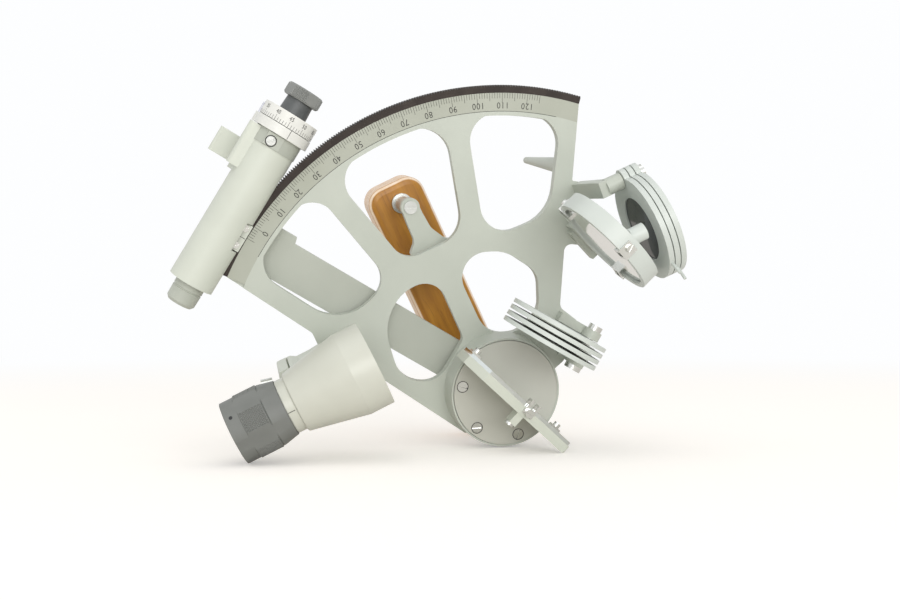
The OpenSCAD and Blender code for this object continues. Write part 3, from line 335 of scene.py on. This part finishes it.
def laminatedWood(name, look):
    # Thin bonded sheets: the colour steps with the depth from the front face in sheets of sheetMm,
    # only the outer skin of skinMm is amber, and the grain is noise drawn out along the grip.
    material, tree = newMaterial(name)
    spot = (addNode(tree, "ShaderNodeTexCoord"), "Object")
    depth = dotPart(tree, spot, awayAxis)
    front = float(place(look["frontMm"] * away).dot(awayAxis))
    sheet, skin = look["sheetMm"] / look["depthMm"], look["skinMm"] / look["depthMm"]
    sheets = (remap(tree, depth, front, front + look["depthMm"] / 1000, {"clamp": False}), "Result")
    layers = addNode(tree, "ShaderNodeMath", {"operation": "PINGPONG", 1: sheet}, {0: sheets})
    layerMask = remap(tree, (layers, "Value"), sheet * look["stepFrom"], sheet * look["stepTo"])
    fromFace = addNode(tree, "ShaderNodeMath", {"operation": "PINGPONG", 1: 0.5}, {0: sheets})
    insideMask = remap(tree, (fromFace, "Value"), skin * look["skinEdge"], skin)

    along = inPlate(look["alongTurn"]) @ turnMatrix
    across = np.cross(awayAxis, along)
    drawn = {"X": dotPart(tree, spot, along / look["drawnOut"]), "Y": dotPart(tree, spot, across), "Z": depth}
    grainSpot = (addNode(tree, "ShaderNodeCombineXYZ", links=drawn), "Vector")
    streaks = noise(tree, grainSpot, look["grainMm"], {"Detail": 5.0, "Roughness": 0.6, "Distortion": 0.4})
    grain = (streaks, "Fac")
    pores = (noise(tree, grainSpot, look["poreMm"], {"Detail": 2.0}), "Fac")

    low, middle, high = look["toneStops"]
    amber = ramp(tree, grain, [(low, look["dark"]), (middle, look["mid"]), (high, look["light"])])
    pale = ramp(tree, grain, [(low, look["paleDark"]), (high, look["paleLight"])])
    cut = ramp(tree, grain, [(low, look["cutDark"]), (high, look["cutLight"])])
    inside = blend(tree, (layerMask, "Result"), (cut, "Color"), (pale, "Color"))
    skinned = blend(tree, (insideMask, "Result"), (amber, "Color"), (inside, mixResult))
    poreMask = remap(tree, pores, look["poreFrom"], look["poreTo"], {"To Max": look["poreDepth"]})
    dotted = blend(tree, (poreMask, "Result"), (skinned, mixResult), flatColour(tree, look["pore"]))
    varnish = {"Roughness": look["rough"], "Coat Weight": look["coat"], "Coat Roughness": look["coatRough"]}
    shader = addNode(tree, "ShaderNodeBsdfPrincipled", varnish,
                     {"Base Color": (dotted, mixResult), "Normal": bumped(tree, pores, look)})
    addNode(tree, "ShaderNodeOutputMaterial", links={"Surface": (shader, "BSDF")})
    return material


# Varnished laminated beech, amber on its faces and pale where the sheets are cut through.
gripLook = {"frontMm": 42.0, "depthMm": 26.0, "sheetMm": 2.1, "stepFrom": 0.42, "stepTo": 0.58,
            "skinMm": 1.6, "skinEdge": 0.6, "alongTurn": -65.27, "drawnOut": 9.0, "grainMm": 5.5,
            "poreMm": 1.3, "poreFrom": 0.62, "poreTo": 0.72, "poreDepth": 0.35, "toneStops": (0.3, 0.5, 0.7),
            "dark": "#9c6418", "mid": "#b2781b", "light": "#c28825",
            "paleDark": "#f0d2ae", "paleLight": "#fcebd8", "cutDark": "#ca985f", "cutLight": "#d9aa74",
            "pore": "#7a4c14", "rough": 0.5, "coat": 0.3, "coatRough": 0.25, "bump": 0.2, "bumpMm": 0.05}
varnishedWood = laminatedWood("varnishedBeechLaminate", gripLook)
print("materials made")

finishes = {
    castEnamel: ["frame_plate", "feet", "handle_bridge", "horizon_base", "horizon_shade_arm",
                 "index_shade_bracket"],
    litMirrorFrameEnamel: ["index_mirror_frame"],
    litShadeRingEnamel: ["horizon_housing", "horizon_shade_1", "horizon_shade_2", "horizon_shade_3",
                  "index_shade_1", "index_shade_2", "index_shade_3", "index_shade_4"],
    shadedScaleEnamel: ["scale_strip"],
    shadedArmEnamel: ["index_arm", "barrel_collar", "barrel_cap"],
    discEnamel: ["index_disc"],
    paleEnamel: ["worm_barrel", "index_plate", "release_lever", "telescope_bracket"],
    tubeEnamel: ["telescope_body"],
    darkBronze: ["toothed_rack"],
    bushBrass: ["pivot_bush"],
    machinedSteel: ["handle_upper_post", "handle_lower_post", "handle_screws", "index_axle", "axle_nut",
                    "worm_shaft"],
    brightNickel: ["clamp_knob", "horizon_clips", "horizon_screws", "horizon_shade_pin", "index_shade_pin",
                   "index_screws", "index_mirror_clips"],
    greyAnodised: ["focus_sleeve"],
    darkAnodised: ["drum_knob"],
    blackAnodisedAndHoleShade: ["objective_ring", "eyepiece_cell"],
    rubberSeal: ["horizon_seal"],
    drumPlastic: ["micrometer_drum", "drum_index_ring"],
    milkPlastic: ["light_post"],
    opticalGlass: ["objective_lens", "eye_lens"],
    silveredGlass: ["index_mirror_glass"],
    horizonSilver: ["horizon_glass"],
    shadeGlass: ["horizon_pane_1", "horizon_pane_2", "horizon_pane_3",
                 "index_pane_1", "index_pane_2", "index_pane_3", "index_pane_4"],
    varnishedWood: ["handle_grip"],
}
for material, names in finishes.items():
    for name in names:
        nodes[name].data.materials.clear()
        nodes[name].data.materials.append(material)
print("finishes given to", sum(len(names) for names in finishes.values()), "nodes")


def lay(mesh, look):
    # a new mesh as an object at the origin, riding on its body
    mesh.materials.append(look["finish"])
    piece = newObject(look["name"], mesh)
    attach(piece, look["body"])
    if "replaced" in look:
        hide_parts(look["replaced"])
    return piece


def patches(corners, look):
    # flat marks: every row of corners is one four-sided patch, in sextant millimetres
    corners = np.asarray(corners, float).reshape(-1, 4, 3)
    faces = np.arange(len(corners) * 4).reshape(-1, 4).tolist()
    mesh = bpy.data.meshes.new(look["name"])
    mesh.from_pydata(place(corners.reshape(-1, 3)).tolist(), [], faces)
    return lay(mesh, look)


def turnedGrid(profile, columns, shape):
    # Profile rows (along, radius) are turned round the axis,
    # and shape changes the radius from (along, radius, angle).
    angle = np.linspace(0, 2 * np.pi, columns, endpoint=False)[None, :]
    along, radius = np.array(profile, float).T[:, :, None]
    radius = shape(along, radius, angle)
    return np.stack([radius * np.cos(angle), radius * np.sin(angle), along + 0 * radius], axis=2)


def turnedPiece(grid, axes, look):
    # Rows of the grid run along the axis and columns round it. A bored piece closes on itself both ways,
    # and a piece without a bore has its end rows closed by a fan.
    rows, columns = grid.shape[:2]
    origin, across, aside, forward = axes
    index = np.arange(rows * columns).reshape(rows, columns)
    near = np.roll(index, -1, axis=1)
    if look["bored"]:
        low, high, lowNear, highNear = index, np.roll(index, -1, axis=0), near, np.roll(near, -1, axis=0)
    else:
        low, high, lowNear, highNear = index[:-1], index[1:], near[:-1], near[1:]
    faces = np.stack([low, lowNear, highNear, high], axis=2).reshape(-1, 4).tolist()
    points = place(origin + grid.reshape(-1, 3) @ np.array([across, aside, forward])).tolist()
    if not look["bored"]:
        for row, first, second in ((0, index[0], near[0]), (-1, near[-1], index[-1])):
            faces += np.stack([first, np.full(columns, len(points)), second], axis=1).tolist()
            points.append(place(origin + grid[row].mean(0) @ np.array([across, aside, forward])).tolist())
    mesh = bpy.data.meshes.new(look["name"])
    mesh.from_pydata(points, [], faces)
    piece = lay(mesh, look)
    if "neckFinish" in look:
        mesh.materials.append(look["neckFinish"])
        slots = np.zeros(len(faces), int)
        slots[:look["neckRows"] * columns] = 1
        mesh.polygons.foreach_set("material_index", slots)
    return piece


def densely(profile, start, end, step):
    # the profile with extra rows between two places along it
    spots, radii = np.array(profile).T
    extra = np.arange(start + step, end, step)
    rows = [row for row in profile if row[0] <= start]
    rows += [(float(spot), float(np.interp(spot, spots, radii))) for spot in extra]
    return rows + [row for row in profile if row[0] >= end]


def flattened(radius, angle, look):
    # the radius cut by finger flats, which are equal chords round the piece; flatTurn is in radians
    share = 2 * np.pi / look["flats"]
    turn = (angle - look["flatTurn"] + share / 2) % share - share / 2
    return np.minimum(radius + 0 * angle, look["flatRadius"] / np.cos(turn) + 0 * radius)


# Each set of axes is an origin, two directions across and the direction along.
wormAxes = (layout["wormRadius"] * inPlate(layout["armTurn"]) + layout["wormY"] * away,
            -inPlate(layout["armTurn"]), away, inPlate(layout["wormTurn"]))
sightBack = layout["sightTurn"] + 180
scopeAxes = (np.array(layout["hoodCentre"]), inPlate(sightBack - 90), away, inPlate(sightBack))

# Focusing sleeve: a taper, a band with finger flats and a fine crossed knurl between them, and the rear rim.
# Its profile rows are (along, radius), out along the skin and back through the bore.
sleeveLook = {"name": "focusingSleeve", "body": "focus", "replaced": "focus_sleeve", "slot": "grey_paint",
              "finish": greyAnodised, "bored": True, "columns": 540, "rowStep": 0.16,
              "skin": [(49.3, 14.8), (57.7, 16.6), (58.1, 16.3), (58.5, 17.1), (70.3, 17.1), (70.7, 16.5),
                       (77.7, 16.5)],
              "bore": [(77.7, 14.2), (74.0, 14.2), (70.0, 14.2), (49.3, 14.2)], "wall": 0.3,
              "bandFrom": 58.5, "bandTo": 70.3, "bandRadius": 17.1, "bandEdge": 0.4,
              "flats": 5, "flatRadius": 16.2, "flatTurn": -1.78, "flatEdge": 0.02, "pitch": 1.6,
              "knurl": 0.45}
sleeveRows = densely(sleeveLook["skin"], sleeveLook["bandFrom"], sleeveLook["bandTo"], sleeveLook["rowStep"])


def sleeveShape(along, radius, angle):
    # Outside the flats the knurl's depth is one less the size of the product of two cosines,
    # whose lines cross the band at forty-five degrees each way.
    look = sleeveLook
    outer = radius > look["bore"][0][1] + look["wall"]
    cut = np.where(outer, flattened(radius, angle, look), radius + 0 * angle)
    onBand = (along > look["bandFrom"] + look["bandEdge"]) & (along < look["bandTo"] - look["bandEdge"])
    knurled = onBand & outer & (cut > radius - look["flatEdge"])
    around = look["bandRadius"] * angle
    waves = np.pi / look["pitch"]
    lines = np.cos(waves * (around + along)) * np.cos(waves * (around - along))
    return cut - np.where(knurled, look["knurl"] * (1 - np.abs(lines)), 0)


sleeveGrid = turnedGrid(sleeveRows + sleeveLook["bore"], sleeveLook["columns"], sleeveShape)
turnedPiece(sleeveGrid, scopeAxes, sleeveLook)

# Drum knob: a plain neck and a rim with straight knurls that stop at smooth finger flats.
knobLook = {"name": "knurledKnob", "body": "drum", "replaced": "drum_knob", "slot": "grey_paint",
            "finish": knobAnodised, "neckFinish": darkAnodised, "neckRows": 1, "bored": False, "columns": 432,
            "skin": [(67.75, 7.6), (75.7, 7.2), (75.72, 9.2), (76.5, 10.0), (81.5, 10.0), (82.25, 9.2)],
            "rowsFrom": 76.5, "rowsTo": 81.5, "rowStep": 0.5, "rimFrom": 75.9, "rimTo": 82.0, "rimRadius": 9,
            "ridges": 66, "ridge": 0.5, "flats": 4, "flatRadius": 9.45, "flatTurn": 0.5, "flatEdge": 0.01}
knobRows = densely(knobLook["skin"], knobLook["rowsFrom"], knobLook["rowsTo"], knobLook["rowStep"])


def knobShape(along, radius, angle):
    # the rim is cut by its flats, and a cosine of the angle makes the ridges between them
    look = knobLook
    onRim = (along > look["rimFrom"]) & (radius > look["rimRadius"])
    cut = np.where(onRim, flattened(radius, angle, look), radius + 0 * angle)
    ridged = onRim & (along < look["rimTo"]) & (cut > radius - look["flatEdge"])
    return cut - np.where(ridged, look["ridge"] * (0.5 - 0.5 * np.cos(look["ridges"] * angle)), 0)


turnedPiece(turnedGrid(knobRows, knobLook["columns"], knobShape), wormAxes, knobLook)
print("sleeve and knob turned")

# Scale: 131 engraved lines half a degree apart, longer at fives and tens, figures every ten,
# and a fine line along the scale's inner edge.
scaleLook = {"name": "scaleLines", "body": "frame", "slot": "black", "finish": inkAndShadowBlack, "zeroTurn": 144.96,
             "lineTurn": 0.5, "firstLine": -5, "lastLine": 125, "outRadius": 161.9, "short": 2.8,
             "fives": 4.2, "tens": 5.2, "wide": 0.21, "lift": 0.03, "figureRadius": 155.3,
             "figureHeight": 3.4, "lastFigure": 120, "figureStep": 10, "edgeRadius": 152.3,
             "edgeWide": 0.25, "edgeFrom": 78.5, "edgeTo": 149.5, "edgeStep": 1.0}


def radialLine(turn, inner, outer, wide, lift):
    # one line on the plate along a radius, facing the front
    along = inPlate(turn)
    aside = inPlate(turn + 90) * wide / 2
    front = -lift * away
    return [inner * along - aside + front, outer * along - aside + front,
            outer * along + aside + front, inner * along + aside + front]


marks = []
for line in range(scaleLook["firstLine"], scaleLook["lastLine"] + 1):
    length = scaleLook["fives"] if line % 5 == 0 else scaleLook["short"]
    length = scaleLook["tens"] if line % 10 == 0 else length
    marks.append(radialLine(scaleLook["zeroTurn"] - line * scaleLook["lineTurn"],
                            scaleLook["outRadius"] - length, scaleLook["outRadius"],
                            scaleLook["wide"], scaleLook["lift"]))
inner = scaleLook["edgeRadius"] - scaleLook["edgeWide"] / 2
outer = scaleLook["edgeRadius"] + scaleLook["edgeWide"] / 2
lift = -scaleLook["lift"] * away
for turn in np.arange(scaleLook["edgeFrom"], scaleLook["edgeTo"], scaleLook["edgeStep"]):
    start, end = inPlate(turn), inPlate(turn + scaleLook["edgeStep"])
    marks.append([inner * start + lift, outer * start + lift, outer * end + lift, inner * end + lift])
patches(marks, scaleLook)

# Shared by all figures: the type size for a height of one, the spacing, the smoothness and how narrow
# they are.
figureLook = {"sizePerHeight": 1.38, "spacing": 1.12, "smooth": 3, "squeeze": 0.9}


def figures(rows, look):
    # Figures are made flat, turned to meshes and then set: each row is (text, centre, rightwards, upwards).
    points, faces = [], []
    for text, centre, rightwards, upwards in rows:
        curve = bpy.data.curves.new("figure", "FONT")
        curve.body = text
        curve.size = look["figureHeight"] * figureLook["sizePerHeight"]
        curve.align_x = "CENTER"
        curve.align_y = "CENTER"
        curve.resolution_u = figureLook["smooth"]
        curve.space_character = figureLook["spacing"]
        holder = newObject("figure", curve)
        bpy.context.view_layer.update()
        flat = bpy.data.meshes.new_from_object(holder.evaluated_get(bpy.context.evaluated_depsgraph_get()))
        spots = np.zeros(len(flat.vertices) * 3)
        flat.vertices.foreach_get("co", spots)
        spots = spots.reshape(-1, 3)
        spots[:, :2] -= (spots[:, :2].max(0) + spots[:, :2].min(0)) / 2
        first = len(points)
        squeeze = look.get("squeeze", figureLook["squeeze"])
        points += (centre + spots[:, :1] * rightwards * squeeze + spots[:, 1:2] * upwards).tolist()
        faces += [[first + corner for corner in polygon.vertices] for polygon in flat.polygons]
        bpy.data.objects.remove(holder)
        bpy.data.curves.remove(curve)
        bpy.data.meshes.remove(flat)
    mesh = bpy.data.meshes.new(look["name"])
    mesh.from_pydata(place(points).tolist(), [], faces)
    return lay(mesh, look)


rows = []
for line in range(0, scaleLook["lastFigure"] + 1, scaleLook["figureStep"]):
    turn = scaleLook["zeroTurn"] - line * scaleLook["lineTurn"]
    middle = scaleLook["figureRadius"] * inPlate(turn) + lift
    rows.append((str(line), middle, inPlate(turn + 90), -inPlate(turn)))
figures(rows, {**scaleLook, "name": "scaleFigures"})
print("scale engraved")


def onTube(axes, turn, along, radius):
    # a point round an axis, from a turn in degrees, a place along it and a radius
    origin, across, aside, forward = axes
    turn = np.radians(turn)
    return origin + radius * (np.cos(turn) * across + np.sin(turn) * aside) + along * forward


def tubeLine(axes, look, turn, start, end):
    # one line along a tube's skin
    low, high = turn - look["wideTurn"] / 2, turn + look["wideTurn"] / 2
    return [onTube(axes, low, start, look["radius"]), onTube(axes, high, start, look["radius"]),
            onTube(axes, high, end, look["radius"]), onTube(axes, low, end, look["radius"])]


# Drum: sixty lines beside the ring, longer at fives, and figures every five.
drumLook = {"name": "drumLines", "body": "drum", "slot": "black", "finish": inkAndShadowBlack, "radius": 15.03,
            "from": 60.6, "short": 1.9, "fives": 3.0, "wideTurn": 0.75, "lines": 60, "lineTurn": 6,
            "figureHeight": 2.2, "figureStep": 5, "figureAlong": 65.3, "figureRadius": 15.15, "squeeze": 0.8}
marks = []
for line in range(drumLook["lines"]):
    length = drumLook["fives"] if line % 5 == 0 else drumLook["short"]
    marks.append(tubeLine(wormAxes, drumLook, line * drumLook["lineTurn"], drumLook["from"],
                          drumLook["from"] + length))
patches(marks, drumLook)
rows = []
for line in range(0, drumLook["lines"], drumLook["figureStep"]):
    turn = line * drumLook["lineTurn"]
    aside = onTube(wormAxes, turn + 90, 0, 1.0) - wormAxes[0]
    middle = onTube(wormAxes, turn, drumLook["figureAlong"], drumLook["figureRadius"])
    rows.append((str(line), middle, aside, wormAxes[3]))
figures(rows, {**drumLook, "name": "drumFigures"})
print("drum marked")

# Index lines: one on the plate between its screws, one on the ring beside the drum.
indexLook = {"name": "indexLines", "body": "index", "slot": "black", "finish": inkAndShadowBlack, "plateFrom": 162.8,
             "plateTo": 166.6, "plateWide": 0.3, "plateLift": 1.03, "ringTurn": -79.1, "wideTurn": 1.0,
             "ringFrom": 55.2, "ringTo": 60.1, "radius": 15.35}
plateLine = radialLine(layout["armTurn"], indexLook["plateFrom"], indexLook["plateTo"],
                       indexLook["plateWide"], indexLook["plateLift"])
ringLine = tubeLine(wormAxes, indexLook, indexLook["ringTurn"], indexLook["ringFrom"], indexLook["ringTo"])
patches([plateLine, ringLine], indexLook)

# How many degrees of a ring one patch takes.
patchTurn = 10


def ringPatches(axes, look):
    # a flat ring of patches round an axis, lifted off the face that it lies on
    inner, outer, lift = look["inner"], look["outer"], look["lift"]
    return [[onTube(axes, turn, lift, inner), onTube(axes, turn, lift, outer),
             onTube(axes, turn + patchTurn, lift, outer), onTube(axes, turn + patchTurn, lift, inner)]
            for turn in range(0, 360, patchTurn)]


def headGrid(look):
    # A low round head: its face is rings of points, from faceEdge inside the rim to a point near the
    # middle, and it sinks by slotDeep wherever it lies within half of slotWide of the slot's line.
    angle = np.linspace(0, 2 * np.pi, look["columns"], endpoint=False)
    radius, proud, rings = look["radius"], look["proud"], look["rings"]
    radii = np.array([radius, radius, radius - look["bevel"],
                      *np.linspace(radius - look["faceEdge"], look["middle"], rings)])
    heights = np.array([0, proud - look["shoulder"], proud, *np.full(rings, proud)])
    x, y = radii[:, None] * np.cos(angle), radii[:, None] * np.sin(angle)
    slotted = (np.abs(y) < look["slotWide"] / 2) * (radii[:, None] < radius - look["shoulder"])
    return np.stack([x, y, heights[:, None] - look["slotDeep"] * slotted], axis=2)


# Collar screw: a low slotted head on the collar's flat, with a painted shadow ring round it.
collarLook = {"name": "collarScrew", "body": "index", "slot": "nickel", "finish": machinedSteel,
              "bored": False, "across": -3.3, "along": 50.4, "flatY": -13.0, "slotTurn": 20, "radius": 2.5,
              "proud": 0.25, "bevel": 0.15, "shoulder": 0.1, "faceEdge": 0.2, "middle": 0.02, "rings": 24,
              "columns": 96, "slotWide": 0.55, "slotDeep": 0.18}
screwSpot = (wormAxes[0] + collarLook["across"] * wormAxes[1] + collarLook["flatY"] * wormAxes[2]
             + collarLook["along"] * wormAxes[3])
screwAxes = (screwSpot, inPlate(collarLook["slotTurn"]), inPlate(collarLook["slotTurn"] + 90), -away)
turnedPiece(headGrid(collarLook), screwAxes, collarLook)
collarShadowLook = {"name": "collarScrewEdge", "body": "index", "slot": "black", "finish": inkAndShadowBlack,
                  "inner": 2.45, "outer": 3.05, "lift": 0.03}
patches(ringPatches(screwAxes, collarShadowLook), collarShadowLook)

# Disc screws: a painted shadow ring round each of the three heads.
discShadowLook = {"name": "discScrewEdge", "body": "index", "slot": "black", "finish": inkAndShadowBlack,
            "turns": [169, 229, 286.5], "ringRadius": 24.9, "frontY": -13.5, "inner": 2.85, "outer": 3.25,
            "lift": 0.04}
for number, turn in enumerate(discShadowLook["turns"]):
    middle = discShadowLook["ringRadius"] * inPlate(turn) + discShadowLook["frontY"] * away
    patches(ringPatches((middle, inPlate(0), inPlate(90), -away), discShadowLook),
            {**discShadowLook, "name": "discScrewEdge" + str(number + 1)})
print("index lines and painted screw shadows set")

# Neck line: the index line on the telescope's neck, beside the sleeve.
neckLook = {"name": "neckLine", "body": "frame", "slot": "black", "finish": inkAndShadowBlack, "turn": -87.3,
            "from": 45.2, "to": 48.9, "radius": 14.36, "wideTurn": 1.4}
patches([tubeLine(scopeAxes, neckLook, neckLook["turn"], neckLook["from"], neckLook["to"])], neckLook)

# Rim hole: a dark disc painted on the sleeve's rear rim as the shade inside a set screw's hole.
holeShadeLook = {"name": "rimHole", "body": "focus", "slot": "black", "finish": blackAnodisedAndHoleShade, "turn": -47.5,
            "along": 74.4, "rim": 16.53, "inner": 0.0, "outer": 0.95, "lift": 0.02}
holeOut = onTube(scopeAxes, holeShadeLook["turn"], 0, 1.0) - scopeAxes[0]
holeAxes = (onTube(scopeAxes, holeShadeLook["turn"], holeShadeLook["along"], holeShadeLook["rim"]), scopeAxes[3],
            np.cross(holeOut, scopeAxes[3]), holeOut)
patches(ringPatches(holeAxes, holeShadeLook), holeShadeLook)
print("sleeve marked")

# Floor: pale paper that keeps the object's shadow and fades into the white far from it.
stageLook = {"skyLight": 0.7, "floorShade": "#f4efe8", "floorLift": 0.27, "floorHalf": 6.0,
             "floorDrop": 0.0002, "fadeFrom": 0.35, "fadeTo": 1.3, "white": (0.985, 0.992, 1.0, 1.0)}
half, drop = stageLook["floorHalf"], -stageLook["floorDrop"]
floorMesh = bpy.data.meshes.new("floor")
floorCorners = [(-half, -half, drop), (half, -half, drop), (half, half, drop), (-half, half, drop)]
floorMesh.from_pydata(floorCorners, [], [(0, 1, 2, 3)])
floor = newObject("floor", floorMesh)
floorMaterial, tree = newMaterial("paperSweep")
rays = addNode(tree, "ShaderNodeLightPath")
seen = addNode(tree, "ShaderNodeMath", {"operation": "MULTIPLY", 1: stageLook["floorLift"]},
               {0: (rays, "Is Camera Ray")})
paper = addNode(tree, "ShaderNodeBsdfDiffuse", {"Color": linear(stageLook["floorShade"])})
glow = addNode(tree, "ShaderNodeEmission", {"Color": (1, 1, 1, 1)}, {"Strength": (seen, "Value")})
total = addNode(tree, "ShaderNodeAddShader", links={0: (paper, "BSDF"), 1: (glow, "Emission")})
spot = (addNode(tree, "ShaderNodeTexCoord"), "Object")
distance = addNode(tree, "ShaderNodeVectorMath", {"operation": "LENGTH"}, {0: spot})
fade = remap(tree, (distance, "Value"), stageLook["fadeFrom"], stageLook["fadeTo"],
             {"interpolation_type": "SMOOTHSTEP"})
fadeSeen = addNode(tree, "ShaderNodeMath", {"operation": "MULTIPLY"},
                   {0: (fade, "Result"), 1: (rays, "Is Camera Ray")})
backdrop = addNode(tree, "ShaderNodeEmission", {"Color": stageLook["white"], "Strength": 1.0})
blended = addNode(tree, "ShaderNodeMixShader",
                  links={0: (fadeSeen, "Value"), 1: (total, "Shader"), 2: (backdrop, "Emission")})
addNode(tree, "ShaderNodeOutputMaterial", links={"Surface": (blended, "Shader")})
floorMesh.materials.append(floorMaterial)

# World: soft plain light, and full white to the camera, to gloss and to glass.
world = bpy.data.worlds.new("studio")
bpy.context.scene.world = world
world.use_nodes = True
tree = world.node_tree
tree.nodes.clear()
rays = addNode(tree, "ShaderNodeLightPath")
direct = addNode(tree, "ShaderNodeMath", {"operation": "MAXIMUM"},
                 {0: (rays, "Is Camera Ray"), 1: (rays, "Is Glossy Ray")})
direct = addNode(tree, "ShaderNodeMath", {"operation": "MAXIMUM"},
                 {0: (direct, "Value"), 1: (rays, "Is Transmission Ray")})
light = remap(tree, (direct, "Value"), 0.0, 1.0, {"To Min": stageLook["skyLight"]})
sky = addNode(tree, "ShaderNodeBackground", {"Color": stageLook["white"]}, {"Strength": (light, "Result")})
addNode(tree, "ShaderNodeOutputWorld", links={"Surface": (sky, "Background")})

# Lamps: one wide softbox above on the left and one low in front, in metres and watts.
lamps = [{"name": "softboxAbove", "at": (-0.8, -0.7, 2.2), "aim": (-0.03, 0.03, 0.08), "size": (1.8, 1.8),
          "power": 8.0},
         {"name": "softboxFront", "at": (0.0, -2.2, 0.42), "aim": (-0.03, 0.03, 0.06), "size": (2.4, 0.75),
          "power": 26.0}]
for lamp in lamps:
    data = bpy.data.lights.new(lamp["name"], "AREA")
    data.shape = "RECTANGLE"
    data.size, data.size_y = lamp["size"]
    data.energy = lamp["power"]
    back = unit(np.array(lamp["at"]) - np.array(lamp["aim"]))
    side = unit(np.cross((0, 0, 1), back))
    newObject(lamp["name"], data).matrix_world = facing(side, np.cross(back, side), back, lamp["at"])
bpy.context.scene.view_settings.view_transform = "Standard"
print("stage lit")
